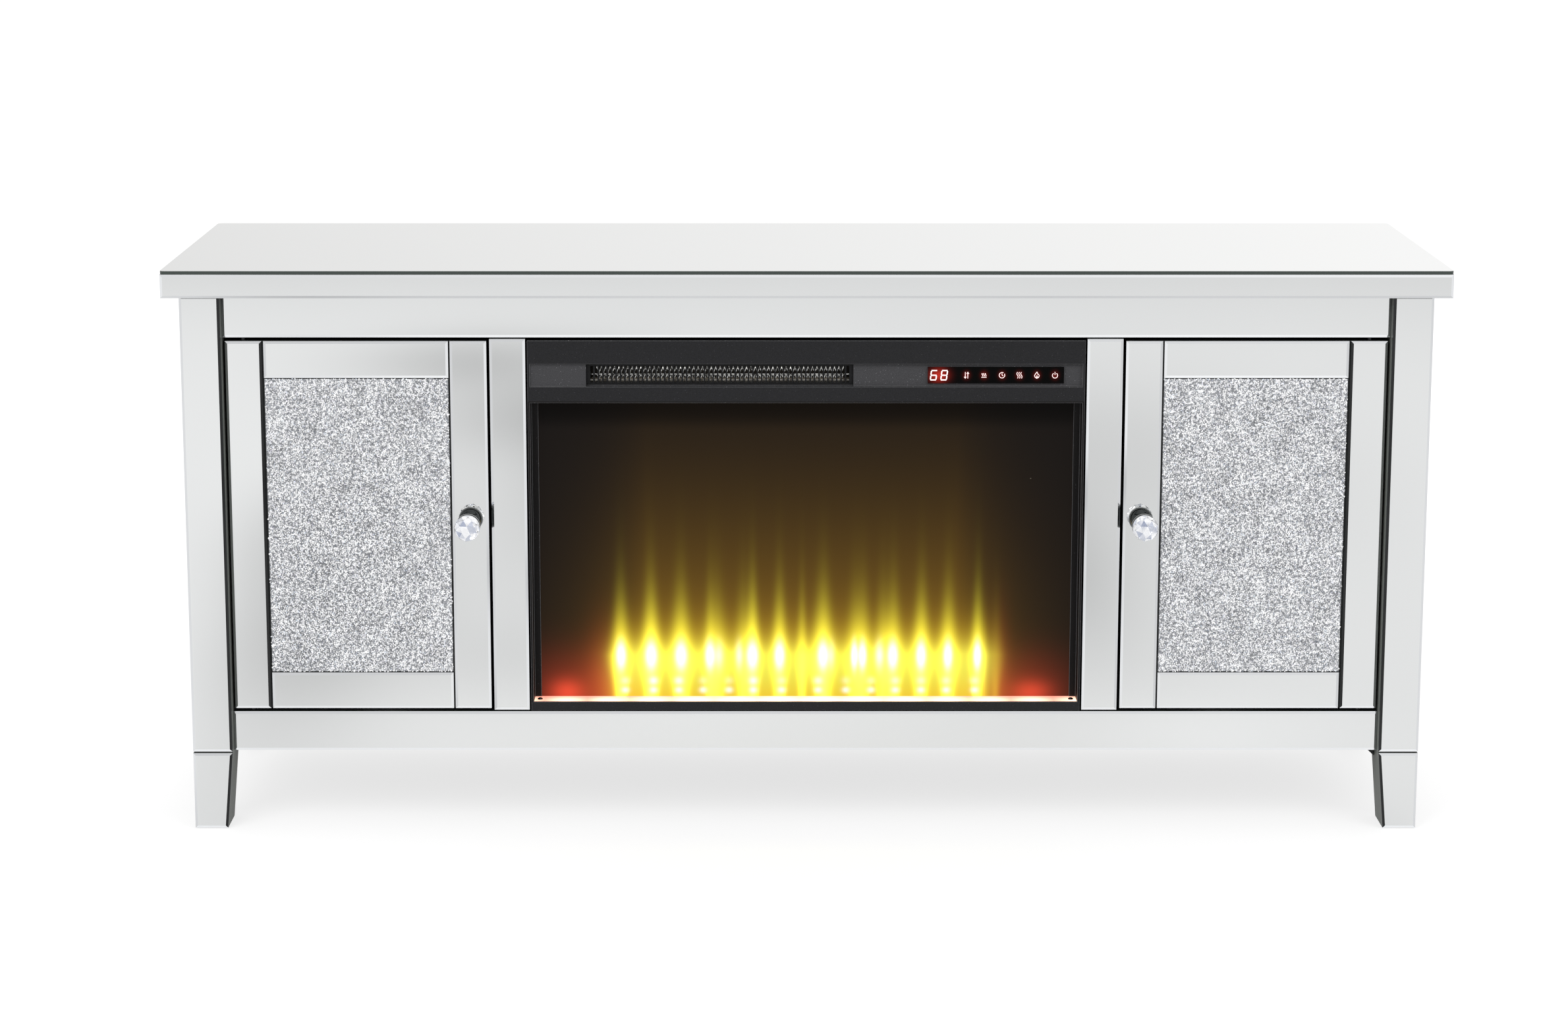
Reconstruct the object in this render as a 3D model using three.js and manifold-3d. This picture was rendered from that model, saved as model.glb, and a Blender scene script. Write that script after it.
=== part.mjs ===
// Low mirrored media cabinet with an electric fireplace insert between two hinged doors.
// Millimetres, +Z up. The front faces -Y.
// The origin is on the floor, under the middle of the box round the part.
import * as THREE from 'three';
import { mergeVertices } from 'three/addons/utils/BufferGeometryUtils.js';
import Module from 'manifold-3d';

const wasm = await Module();
wasm.setup();

// Driving dimensions: the whole cabinet
const overallWidth = 1500;
const overallHeight = 680;
const slabDepth = 400;
const slabThickness = 32;
const topGlassThickness = 4;
const topCornerRadius = 6;
const slabSideOverhang = 18;
const slabFrontOverhang = 18;
const slabRearOverhang = 8;
const seatGap = 0.3;

// Mirror strips: ground glass with a shallow bevel round the front face
const mirrorThickness = 4;
const bevelWidth = 3;
const bevelDepth = 1.2;
const grooveGap = 2;

// Legs and carcass
const legWidth = 47;
const legDepth = 48;
const footHeight = 95;
const footTaper = 8;
const footGlassLift = 1;
const boardThickness = 16;
const floorThickness = 18;
const backPanelThickness = 4;
const cableHoleRadius = 25;
const cableHoleRise = 75;
const cableHoleFromDivider = 170;
const shelfThickness = 15;
const shelfRise = 240;
const shelfSetback = 44;

// Front frame
const frontRecess = 13;
const bottomRailLift = 94;
const bottomRailHeight = 48;
const topRailReach = 51.5;
const insertOpening = 660;
const stileWidth = 42;
const stileEndGap = 2;

// Doors
const hingeGap = 3;
const latchGap = 3.5;
const doorBottomGap = 4;
const doorTopGap = 4.5;
const doorStileWidth = 43;
const doorRailHeight = 44;
const crystalThickness = 4;
const crystalPanelGap = 1;
const pivotInset = 20;
const pivotDepth = 10;
const pinRadius = 3;
const pinEngagement = 14;
const runningGap = 0.3;

// Knobs: a chromed cup with a faceted crystal ball
const knobInset = 23;
const knobRise = 228;
const knobFlangeRadius = 10;
const knobFlangeThickness = 2;
const knobNeckRadius = 6;
const knobNeckEnd = 9;
const knobCupRadius = 14;
const knobCupFlareEnd = 17;
const knobCupLength = 20.7;
const crystalRadius = 15.5;
const crystalSeatOffset = 9;

// Fireplace insert: the moulded front
const insertSideGap = 2;
const insertTopGap = 4;
const bezelSetback = 2;
const bezelDepth = 24;
const bezelWall = 3;
const bezelHeadHeight = 74.8;
const bezelBarHeight = 8;
const bezelLip = 2;
const bezelFlangeWidth = 8;
const bezelFlangeThickness = 3;
const recessDrop = 28.3;
const recessHeight = 26.8;
const recessDepth = 8;
const blankPanelWidth = 66;
const blankPanelDepth = 2.5;
const controlPanelDepth = 4;
const grilleWidth = 314.5;
const grilleSlotMargin = 1.5;
const grilleThickness = 8;
const grilleBorder = 3;
const grilleRim = 1.6;
const finPitch = 5.2;
const finWidth = 1.8;
const controlGlassWidth = 160;
const controlGlassHeight = 19.5;
const controlGlassThickness = 2;
const controlGlassFromEnd = 22;

// Fireplace insert: the screen, the lit ledge and the works behind them
const screenThickness = 3;
const screenTopMargin = 18;
const screenEdgeMargin = 2;
const ledgeThickness = 3;
const housingDepth = 180;
const housingWall = 1.5;
const bearingBossRadius = 8;
const bearingBossLength = 10;
const bearingEngagement = 7;
const journalRadius = 3;
const heaterDepth = 12;
const heaterMargin = 1.5;
const wheelRadius = 30;
const wheelHubRadius = 24;
const wheelBladeCount = 24;
const wheelAxisDepth = 70;
const wheelTopGap = 10;
const wheelLength = 300;
const motorLength = 40;
const motorRadius = 25;
const motorGap = 6;
const motorEngagement = 12;
const spindleAxisDepth = 45;
const spindleRise = 60;
const spindleRodRadius = 4;
const spindleVaneRadius = 14;
const spindleVaneThickness = 1.2;
const spindleVaneCount = 4;
const spindleEndGap = 18;
const spindleMotorRadius = 20;
const spindleMotorLength = 25;
const cutOverrun = 5;

// Counts of sides on round pieces
const pinSides = 24;
const knobSides = 32;
const crystalSides = 16;
const crystalRings = 7;

// Planes across the depth, measured back from the slab's front edge
const postFrontY = slabFrontOverhang;
const legCoreFrontY = postFrontY + mirrorThickness + seatGap;
const frontLegRearY = postFrontY + legDepth;
const panelFrontY = postFrontY + frontRecess;
const boardFrontY = panelFrontY + mirrorThickness + seatGap;
const boardRearY = boardFrontY + boardThickness;
const backRearY = slabDepth - slabRearOverhang;
const backFrontY = backRearY - backPanelThickness;
const rearLegRearY = backFrontY - seatGap;
const rearLegFrontY = rearLegRearY - legDepth;
const knobFrontY = panelFrontY - seatGap - knobCupLength - seatGap - crystalSeatOffset - crystalRadius;
const overallFrontY = Math.min(0, knobFrontY);

// Levels
const slabUndersideZ = overallHeight - slabThickness;
const boardTopZ = overallHeight - topGlassThickness - seatGap;
const carcassTopZ = slabUndersideZ - seatGap;
const bottomRailTopZ = bottomRailLift + bottomRailHeight;
const topRailBottomZ = slabUndersideZ - topRailReach;
const doorBottomZ = bottomRailTopZ + doorBottomGap;
const doorTopZ = topRailBottomZ - doorTopGap;
const sideMirrorBottomZ = footHeight + seatGap;
const postMirrorBottomZ = footHeight + grooveGap / 2;
const postMirrorTopZ = carcassTopZ;

// Planes across the width, for the right half; the left half is its mirror image
const slabHalf = overallWidth / 2;
const legOuterX = slabHalf - slabSideOverhang;
const legInnerX = legOuterX - legWidth;
const sideCoreX = legOuterX - mirrorThickness - seatGap;
const sideInnerX = sideCoreX - boardThickness;
const insertHalf = insertOpening / 2;
const dividerOuterX = insertHalf + stileWidth;
const doorOuterX = legInnerX - hingeGap;
const doorInnerX = dividerOuterX + latchGap;
const pivotX = doorOuterX - pivotInset;
const pivotY = panelFrontY + pivotDepth;

// Insert planes
const bezelHalf = insertHalf - insertSideGap;
const bezelFrontY = panelFrontY + bezelSetback;
const bezelRearY = bezelFrontY + bezelDepth;
const bezelBottomZ = bottomRailTopZ + seatGap;
const bezelTopZ = topRailBottomZ - insertTopGap;
const windowTopZ = bezelTopZ - bezelHeadHeight;
const barTopZ = bezelBottomZ + bezelBarHeight;
const ledgeTopZ = barTopZ + seatGap + ledgeThickness;
const windowHalf = bezelHalf - bezelWall;
const recessTopZ = bezelTopZ - recessDrop;
const recessBottomZ = recessTopZ - recessHeight;
const blankPanelEndX = -windowHalf + blankPanelWidth;
const grilleEndX = blankPanelEndX + grilleWidth;
const slotBottomZ = recessBottomZ + grilleSlotMargin;
const slotTopZ = recessTopZ - grilleSlotMargin;
const housingFrontY = bezelRearY + seatGap + screenThickness + seatGap;
const housingRearY = housingFrontY + housingDepth;
const housingInnerX = bezelHalf - housingWall;

const sides = [[-1, 'left'], [1, 'right']];

const group = new THREE.Group();
group.position.y = -(slabDepth + overallFrontY) / 2;

// Finishes
function finish(color, roughness, metalness) {
  return new THREE.MeshStandardMaterial({ color, roughness, metalness });
}

const mirrorFinish = finish(0xd8dbdb, 0.05, 1);
const boardFinish = finish(0x3a3c3d, 0.6, 0);
const crystalPanelFinish = finish(0xc8cacb, 0.15, 0.2);
const crystalFinish = finish(0xe6eaee, 0.02, 0);
const chromeFinish = finish(0x8c8e90, 0.15, 1);
const steelFinish = finish(0x9a9c9e, 0.35, 1);
const sheetFinish = finish(0x1c1d1e, 0.5, 0.6);
const bezelFinish = finish(0x2e2f31, 0.45, 0);
const glossFinish = finish(0x0b0c0e, 0.08, 0);
const screenFinish = finish(0x1b150d, 0.25, 0);
const ledgeFinish = finish(0xe08a78, 0.4, 0);
const motorFinish = finish(0x4a4d50, 0.4, 0.7);

function add(name, geometry, material, x = 0, y = 0, z = 0) {
  const mesh = new THREE.Mesh(geometry, material);
  mesh.name = name;
  mesh.position.set(x, y, z);
  group.add(mesh);
  return mesh;
}

function slabOf(x0, x1, y0, y1, z0, z1) {
  const geometry = new THREE.BoxGeometry(x1 - x0, y1 - y0, z1 - z0);
  geometry.translate((x0 + x1) / 2, (y0 + y1) / 2, (z0 + z1) / 2);
  return geometry;
}

// A sheet of glass standing in the XZ plane: its front face, at y = 0, is bevelled on all four sides,
// and its inner lower corner can step in by a taper.
function bevelledSheet(width, height, taper = 0) {
  const geometry = new THREE.BoxGeometry(width, mirrorThickness, height, 1, 2, 1);
  const position = geometry.attributes.position;
  const middle = mirrorThickness / 4;
  for (let i = 0; i < position.count; i += 1) {
    const sideX = Math.sign(position.getX(i));
    const sideZ = Math.sign(position.getZ(i));
    const y = position.getY(i);
    const isFront = y < -middle;
    const isMiddle = Math.abs(y) < middle;
    const inset = isFront ? bevelWidth : 0;
    const lowered = taper * (sideZ < 0 ? 1 - inset / height : inset / height);
    const x = sideX * (width / 2 - inset) - (sideX > 0 ? lowered : 0);
    position.setX(i, x);
    position.setZ(i, sideZ * (height / 2 - inset));
    if (isMiddle) position.setY(i, bevelDepth - mirrorThickness / 2);
  }
  geometry.translate(0, mirrorThickness / 2, 0);
  return geometry;
}

// A bevelled strip on the front, between two edges and two levels, with its face at the given depth.
function frontStrip(name, x0, x1, z0, z1, faceY, material = mirrorFinish) {
  return add(name, bevelledSheet(x1 - x0, z1 - z0), material, (x0 + x1) / 2, faceY, (z0 + z1) / 2);
}

// A bevelled strip on a side of the cabinet: side is 1 on the right and -1 on the left.
function sideStrip(name, side, faceX, y0, y1, z0, z1) {
  const sheet = bevelledSheet(y1 - y0, z1 - z0);
  const mesh = add(name, sheet, mirrorFinish, side * faceX, (y0 + y1) / 2, (z0 + z1) / 2);
  mesh.rotation.z = side * Math.PI / 2;
  return mesh;
}

// An outline drawn in front view, X across and Z up, given its thickness from y0 back to y1.
function frontProfile(shape, y0, y1, curveSegments = knobSides / 4) {
  const geometry = new THREE.ExtrudeGeometry(shape, { depth: y1 - y0, bevelEnabled: false, curveSegments });
  geometry.rotateX(Math.PI / 2);
  geometry.translate(0, y1, 0);
  return geometry;
}

// An outline drawn in side view, Y across and Z up, given its thickness from x0 to x1.
function sideProfile(shape, x0, x1) {
  const geometry = new THREE.ExtrudeGeometry(shape, { depth: x1 - x0, bevelEnabled: false });
  geometry.applyMatrix4(new THREE.Matrix4().makeBasis(
    new THREE.Vector3(0, 1, 0),
    new THREE.Vector3(0, 0, 1),
    new THREE.Vector3(1, 0, 0),
  ));
  geometry.translate(x0, 0, 0);
  return geometry;
}

// An outline drawn in plan, X across and Y back, given its height from z0 to z1.
function planProfile(shape, z0, z1, curveSegments = knobSides / 8) {
  const geometry = new THREE.ExtrudeGeometry(shape, { depth: z1 - z0, bevelEnabled: false, curveSegments });
  geometry.translate(0, 0, z0);
  return geometry;
}

function outline(points) {
  return new THREE.Shape(points.map(([u, v]) => new THREE.Vector2(u, v)));
}

function rod(radius, x0, x1, y, z, sides = pinSides) {
  const geometry = new THREE.CylinderGeometry(radius, radius, x1 - x0, sides);
  geometry.rotateZ(Math.PI / 2);
  geometry.translate((x0 + x1) / 2, y, z);
  return geometry;
}

function post(radius, x, y, z0, z1, sides = pinSides) {
  const geometry = new THREE.CylinderGeometry(radius, radius, z1 - z0, sides);
  geometry.rotateX(Math.PI / 2);
  geometry.translate(x, y, (z0 + z1) / 2);
  return geometry;
}

// Joins and cuts
function toSolid(geometry) {
  const bare = geometry.clone();
  bare.deleteAttribute('normal');
  bare.deleteAttribute('uv');
  const merged = mergeVertices(bare);
  return new wasm.Manifold(new wasm.Mesh({
    numProp: 3,
    vertProperties: new Float32Array(merged.attributes.position.array),
    triVerts: new Uint32Array(merged.index.array),
  }));
}

function toGeometry(solid) {
  const mesh = solid.getMesh();
  const geometry = new THREE.BufferGeometry();
  geometry.setAttribute('position', new THREE.BufferAttribute(mesh.vertProperties, 3));
  geometry.setIndex(new THREE.BufferAttribute(mesh.triVerts, 1));
  const flat = geometry.toNonIndexed();
  flat.computeVertexNormals();
  return flat;
}

function cut(body, ...tools) {
  return toGeometry(tools.reduce((solid, tool) => solid.subtract(toSolid(tool)), toSolid(body)));
}

function join(...bodies) {
  return toGeometry(bodies.map(toSolid).reduce((whole, next) => whole.add(next)));
}

// Top slab: a board with mirror glass on top and round its front and sides
function makeTop() {
  const fasciaInnerX = slabHalf - mirrorThickness - seatGap;
  const fasciaInnerY = mirrorThickness + seatGap;
  const board = slabOf(-fasciaInnerX, fasciaInnerX, fasciaInnerY, slabDepth, slabUndersideZ, boardTopZ);
  add('top_board', board, boardFinish);

  const r = topCornerRadius;
  const plate = new THREE.Shape();
  plate.moveTo(-slabHalf + r, 0);
  plate.lineTo(slabHalf - r, 0);
  plate.absarc(slabHalf - r, r, r, -Math.PI / 2, 0);
  plate.lineTo(slabHalf, slabDepth - r);
  plate.absarc(slabHalf - r, slabDepth - r, r, 0, Math.PI / 2);
  plate.lineTo(-slabHalf + r, slabDepth);
  plate.absarc(-slabHalf + r, slabDepth - r, r, Math.PI / 2, Math.PI);
  plate.lineTo(-slabHalf, r);
  plate.absarc(-slabHalf + r, r, r, Math.PI, Math.PI * 3 / 2);
  add('top_mirror', planProfile(plate, overallHeight - topGlassThickness, overallHeight), mirrorFinish);

  frontStrip('fascia_mirror_front', -slabHalf, slabHalf, slabUndersideZ, boardTopZ, 0);
  for (const [side, label] of sides) {
    sideStrip(`fascia_mirror_${label}`, side, slabHalf, fasciaInnerY, slabDepth, slabUndersideZ, boardTopZ);
  }
}

// Legs: a post rebated for the side mirror, on a foot that tapers on its inner side
function makeLegs() {
  for (const [side, label] of sides) {
    const shape = outline([
      [side * legInnerX, carcassTopZ],
      [side * legInnerX, footHeight],
      [side * (legInnerX + footTaper), 0],
      [side * legOuterX, 0],
      [side * legOuterX, footHeight],
      [side * sideCoreX, footHeight],
      [side * sideCoreX, carcassTopZ],
    ]);
    add(`leg_front_${label}`, frontProfile(shape, legCoreFrontY, frontLegRearY), boardFinish);
    add(`leg_rear_${label}`, frontProfile(shape, rearLegFrontY, rearLegRearY), boardFinish);

    const middleX = side * (legInnerX + legOuterX) / 2;
    const postMirrorHeight = postMirrorTopZ - postMirrorBottomZ;
    const postMiddleZ = (postMirrorTopZ + postMirrorBottomZ) / 2;
    const postSheet = bevelledSheet(legWidth, postMirrorHeight);
    add(`post_mirror_${label}`, postSheet, mirrorFinish, middleX, postFrontY, postMiddleZ);

    const footGlassTopZ = footHeight - grooveGap / 2;
    const footGlassHeight = footGlassTopZ - footGlassLift;
    const footSheet = bevelledSheet(legWidth, footGlassHeight, footTaper * footGlassHeight / footHeight);
    const footMiddleZ = (footGlassTopZ + footGlassLift) / 2;
    const handed = side < 0 ? footSheet : mirrored(footSheet);
    add(`foot_mirror_${label}`, handed, mirrorFinish, middleX, postFrontY, footMiddleZ);
  }
}

// The same sheet with left and right exchanged; the faces are turned round so that they still point out.
function mirrored(geometry) {
  const turned = geometry.clone();
  turned.scale(-1, 1, 1);
  const index = turned.index;
  for (let i = 0; i < index.count; i += 3) {
    const second = index.getX(i + 1);
    index.setX(i + 1, index.getX(i + 2));
    index.setX(i + 2, second);
  }
  turned.computeVertexNormals();
  return turned;
}

// Side panels between the legs, with one large bevelled mirror over legs and panel on each side
function makeSides() {
  const y0 = frontLegRearY + seatGap;
  const y1 = rearLegFrontY - seatGap;
  for (const [side, label] of sides) {
    const [x0, x1] = side > 0 ? [sideInnerX, sideCoreX] : [-sideCoreX, -sideInnerX];
    add(`side_panel_${label}`, slabOf(x0, x1, y0, y1, footHeight, carcassTopZ), boardFinish);
    sideStrip(
      `side_mirror_${label}`, side, legOuterX, legCoreFrontY, rearLegRearY, sideMirrorBottomZ, postMirrorTopZ,
    );
  }
}

// Floor between the legs, hollow-core dividers beside the insert, back panel and shelves
function makeCarcass() {
  const floorFrontY = boardRearY + seatGap;
  const floorX = sideInnerX - seatGap;
  const notchX = legInnerX - seatGap;
  const notchFrontY = frontLegRearY + seatGap;
  const notchRearY = rearLegFrontY - seatGap;
  const floorShape = outline([
    [-notchX, floorFrontY],
    [notchX, floorFrontY],
    [notchX, notchFrontY],
    [floorX, notchFrontY],
    [floorX, notchRearY],
    [notchX, notchRearY],
    [notchX, rearLegRearY],
    [-notchX, rearLegRearY],
    [-notchX, notchRearY],
    [-floorX, notchRearY],
    [-floorX, notchFrontY],
    [-notchX, notchFrontY],
  ]);
  add('floor_panel', planProfile(floorShape, bottomRailTopZ - floorThickness, bottomRailTopZ), boardFinish);

  const standZ = bottomRailTopZ + seatGap;
  const dividerShape = outline([
    [boardFrontY, standZ],
    [rearLegRearY, standZ],
    [rearLegRearY, carcassTopZ],
    [floorFrontY, carcassTopZ],
    [floorFrontY, topRailBottomZ - seatGap],
    [boardFrontY, topRailBottomZ - seatGap],
  ]);
  const shelfZ = bottomRailTopZ + shelfRise;
  const shelfFrontY = panelFrontY + shelfSetback;
  for (const [side, label] of sides) {
    const [d0, d1] = side > 0 ? [insertHalf, dividerOuterX] : [-dividerOuterX, -insertHalf];
    add(`divider_${label}`, sideProfile(dividerShape, d0, d1), boardFinish);
    const shelfInner = dividerOuterX + seatGap;
    const [s0, s1] = side > 0 ? [shelfInner, floorX] : [-floorX, -shelfInner];
    const shelf = slabOf(s0, s1, shelfFrontY, notchRearY, shelfZ, shelfZ + shelfThickness);
    add(`shelf_${label}`, shelf, boardFinish);
  }

  const backShape = outline([
    [-sideCoreX, footHeight],
    [sideCoreX, footHeight],
    [sideCoreX, carcassTopZ],
    [-sideCoreX, carcassTopZ],
  ]);
  for (const [side] of sides) {
    const hole = new THREE.Path();
    const holeX = side * (dividerOuterX + cableHoleFromDivider);
    hole.absarc(holeX, bottomRailTopZ + cableHoleRise, cableHoleRadius, 0, Math.PI * 2);
    backShape.holes.push(hole);
  }
  add('back_panel', frontProfile(backShape, backFrontY, backRearY), boardFinish);
}

// Rails across the front and mirror strips on the dividers' front edges
function makeFrontFrame() {
  const railX = legInnerX - seatGap;
  const pinHoleRadius = pinRadius + runningGap;
  const holeDepth = pinEngagement + runningGap;
  const topRail = slabOf(-railX, railX, boardFrontY, boardRearY, topRailBottomZ, carcassTopZ);
  const topHoles = sides.map(([side]) => post(
    pinHoleRadius, side * pivotX, pivotY, topRailBottomZ - cutOverrun, topRailBottomZ + holeDepth,
  ));
  add('top_rail', cut(topRail, ...topHoles), boardFinish);
  frontStrip('top_rail_mirror', -railX, railX, topRailBottomZ, carcassTopZ, panelFrontY);

  const bottomRail = slabOf(-railX, railX, boardFrontY, boardRearY, bottomRailLift, bottomRailTopZ);
  const bottomHoles = sides.map(([side]) => post(
    pinHoleRadius, side * pivotX, pivotY, bottomRailTopZ - holeDepth, bottomRailTopZ + cutOverrun,
  ));
  add('bottom_rail', cut(bottomRail, ...bottomHoles), boardFinish);
  frontStrip('bottom_rail_mirror', -railX, railX, bottomRailLift, bottomRailTopZ, panelFrontY);

  const stileBottomZ = bottomRailTopZ + stileEndGap;
  const stileTopZ = topRailBottomZ - stileEndGap;
  frontStrip('stile_mirror_left', -dividerOuterX, -insertHalf, stileBottomZ, stileTopZ, panelFrontY);
  frontStrip('stile_mirror_right', insertHalf, dividerOuterX, stileBottomZ, stileTopZ, panelFrontY);
}

// Doors: a board framed by four mirror strips round a crushed-crystal panel, hung on two pivot pins
function makeDoors() {
  const pinHoleRadius = pinRadius + runningGap;
  const holeDepth = pinEngagement + runningGap;
  for (const [side, label] of sides) {
    const span = (a, b) => (side > 0 ? [a, b] : [-b, -a]);
    const [b0, b1] = span(doorInnerX, doorOuterX);
    const board = slabOf(b0, b1, boardFrontY, boardRearY, doorBottomZ, doorTopZ);
    const pivotAt = side * pivotX;
    const lowerHole = post(pinHoleRadius, pivotAt, pivotY, doorBottomZ - cutOverrun, doorBottomZ + holeDepth);
    const upperHole = post(pinHoleRadius, pivotAt, pivotY, doorTopZ - holeDepth, doorTopZ + cutOverrun);
    add(`door_board_${label}`, cut(board, lowerHole, upperHole), boardFinish);

    const outerStrip = span(doorOuterX - doorStileWidth, doorOuterX);
    const innerStrip = span(doorInnerX, doorInnerX + doorStileWidth);
    frontStrip(`door_outer_mirror_${label}`, ...outerStrip, doorBottomZ, doorTopZ, panelFrontY);
    frontStrip(`door_inner_mirror_${label}`, ...innerStrip, doorBottomZ, doorTopZ, panelFrontY);
    const [r0, r1] = span(doorInnerX + doorStileWidth + grooveGap, doorOuterX - doorStileWidth - grooveGap);
    const lowerTopZ = doorBottomZ + doorRailHeight;
    const upperBottomZ = doorTopZ - doorRailHeight;
    frontStrip(`door_lower_mirror_${label}`, r0, r1, doorBottomZ, lowerTopZ, panelFrontY);
    frontStrip(`door_upper_mirror_${label}`, r0, r1, upperBottomZ, doorTopZ, panelFrontY);

    const crystalFrontY = boardFrontY - seatGap - crystalThickness;
    const crystalBottomZ = lowerTopZ + crystalPanelGap;
    const crystalTopZ = upperBottomZ - crystalPanelGap;
    const panel = slabOf(r0, r1, crystalFrontY, boardFrontY - seatGap, crystalBottomZ, crystalTopZ);
    add(`crystal_panel_${label}`, panel, crystalPanelFinish);

    makeKnob(label, side * (doorInnerX + knobInset), doorBottomZ + knobRise);

    const lowerPin = post(
      pinRadius, pivotAt, pivotY, bottomRailTopZ - pinEngagement, doorBottomZ + pinEngagement,
    );
    const upperPin = post(
      pinRadius, pivotAt, pivotY, doorTopZ - pinEngagement, topRailBottomZ + pinEngagement,
    );
    add(`hinge_pin_lower_${label}`, lowerPin, steelFinish);
    add(`hinge_pin_upper_${label}`, upperPin, steelFinish);
  }
}

// The knob's profiles are turned about Z and then laid forward, along -Y.
function makeKnob(label, x, z) {
  const baseProfile = [
    [0, 0],
    [knobFlangeRadius, 0],
    [knobFlangeRadius, knobFlangeThickness],
    [knobNeckRadius, knobFlangeThickness],
    [knobNeckRadius, knobNeckEnd],
    [knobCupRadius, knobCupFlareEnd],
    [knobCupRadius, knobCupLength],
    [0, knobCupLength],
  ].map(([r, h]) => new THREE.Vector2(r, h));
  const base = new THREE.LatheGeometry(baseProfile, knobSides);
  base.rotateX(Math.PI);
  const faceY = panelFrontY - seatGap;
  add(`knob_base_${label}`, base, chromeFinish, x, faceY, z);

  const seatAngle = Math.acos(-crystalSeatOffset / crystalRadius);
  const ballProfile = [new THREE.Vector2(0, -crystalSeatOffset)];
  for (let ring = 0; ring <= crystalRings; ring += 1) {
    const angle = seatAngle * (1 - ring / crystalRings);
    const radius = ring === crystalRings ? 0 : crystalRadius * Math.sin(angle);
    ballProfile.push(new THREE.Vector2(radius, crystalRadius * Math.cos(angle)));
  }
  const ball = new THREE.LatheGeometry(ballProfile, crystalSides);
  ball.rotateX(Math.PI);
  const ballY = faceY - knobCupLength - seatGap - crystalSeatOffset;
  add(`knob_crystal_${label}`, ball, crystalFinish, x, ballY, z);
}

// Fireplace insert, the moulded front: head with a recessed band, side walls, lipped bar at the foot.
// A flange at the back of each side wall frames the screen.
function makeInsertFront() {
  const frame = slabOf(-bezelHalf, bezelHalf, bezelFrontY, bezelRearY, bezelBottomZ, bezelTopZ);
  const beforeY = bezelFrontY - cutOverrun;
  const behindY = bezelRearY + cutOverrun;
  const flangeFrontY = bezelRearY - bezelFlangeThickness;
  const flangeX = windowHalf - bezelFlangeWidth;
  const frontWindow = slabOf(-windowHalf, windowHalf, beforeY, flangeFrontY, ledgeTopZ, windowTopZ);
  const rearWindow = slabOf(-flangeX, flangeX, beforeY, behindY, ledgeTopZ, windowTopZ);
  const ledgeSeat = slabOf(
    -windowHalf, windowHalf, bezelFrontY + bezelLip, behindY, barTopZ, ledgeTopZ + seatGap,
  );
  const blankBand = slabOf(
    -windowHalf, blankPanelEndX, beforeY, bezelFrontY + blankPanelDepth, recessBottomZ, recessTopZ,
  );
  const grilleBand = slabOf(
    blankPanelEndX, grilleEndX, beforeY, bezelFrontY + recessDepth, recessBottomZ, recessTopZ,
  );
  const controlBand = slabOf(
    grilleEndX, windowHalf, beforeY, bezelFrontY + controlPanelDepth, recessBottomZ, recessTopZ,
  );
  const slot = slabOf(blankPanelEndX, grilleEndX, beforeY, behindY, slotBottomZ, slotTopZ);
  const bezel = cut(frame, frontWindow, rearWindow, ledgeSeat, blankBand, grilleBand, controlBand, slot);
  add('insert_bezel', bezel, bezelFinish);

  const g0 = blankPanelEndX + seatGap;
  const g1 = grilleEndX - seatGap;
  const gz0 = slotBottomZ + seatGap;
  const gz1 = slotTopZ - seatGap;
  const grilleY = bezelFrontY + recessDepth;
  const plate = slabOf(g0, g1, grilleY, grilleY + grilleThickness, gz0, gz1);
  const slotWidth = finPitch - finWidth;
  const slotCount = Math.floor((g1 - g0 - grilleBorder * 2 + finWidth) / finPitch);
  const firstSlot = (g0 + g1 - slotCount * finPitch + finWidth) / 2;
  const slots = Array.from({ length: slotCount }, (_, i) => {
    const u = firstSlot + i * finPitch;
    return slabOf(
      u, u + slotWidth, grilleY - cutOverrun, grilleY + grilleThickness + cutOverrun,
      gz0 + grilleRim, gz1 - grilleRim,
    );
  });
  add('heater_grille', cut(plate, ...slots), bezelFinish);

  const c1 = windowHalf - controlGlassFromEnd;
  const controlZ = (recessTopZ + recessBottomZ) / 2;
  const controlY = bezelFrontY + controlPanelDepth - seatGap;
  const controls = slabOf(
    c1 - controlGlassWidth, c1, controlY - controlGlassThickness, controlY,
    controlZ - controlGlassHeight / 2, controlZ + controlGlassHeight / 2,
  );
  add('control_glass', controls, glossFinish);

  const ledgeX = windowHalf - seatGap;
  const ledge = slabOf(
    -ledgeX, ledgeX, bezelFrontY + bezelLip + seatGap, bezelRearY - seatGap, barTopZ + seatGap, ledgeTopZ,
  );
  add('ember_ledge', ledge, ledgeFinish);

  const screenX = bezelHalf - screenEdgeMargin;
  const screenY = bezelRearY + seatGap;
  const screen = slabOf(
    -screenX, screenX, screenY, screenY + screenThickness, bezelBottomZ, windowTopZ + screenTopMargin,
  );
  add('flame_screen', screen, screenFinish);
}

// A rotor: a body of one outline along X, with a round journal through it from end to end.
function rotor(shape, body0, body1, journal0, journal1, y, z) {
  const body = sideProfile(shape, body0, body1);
  body.translate(0, y, z);
  return join(body, rod(journalRadius, journal0, journal1, y, z));
}

// A star-shaped outline that alternates between two radii.
function starOutline(count, rootRadius, tipRadius, tipHalfAngle) {
  const points = [];
  for (let i = 0; i < count; i += 1) {
    const middle = (i * Math.PI * 2) / count;
    const step = Math.PI / count;
    for (const [angle, radius] of [
      [middle - tipHalfAngle * 2, rootRadius],
      [middle - tipHalfAngle, tipRadius],
      [middle + tipHalfAngle, tipRadius],
      [middle + Math.min(tipHalfAngle * 2, step), rootRadius],
    ]) {
      points.push([radius * Math.cos(angle), radius * Math.sin(angle)]);
    }
  }
  return outline(points);
}

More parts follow.
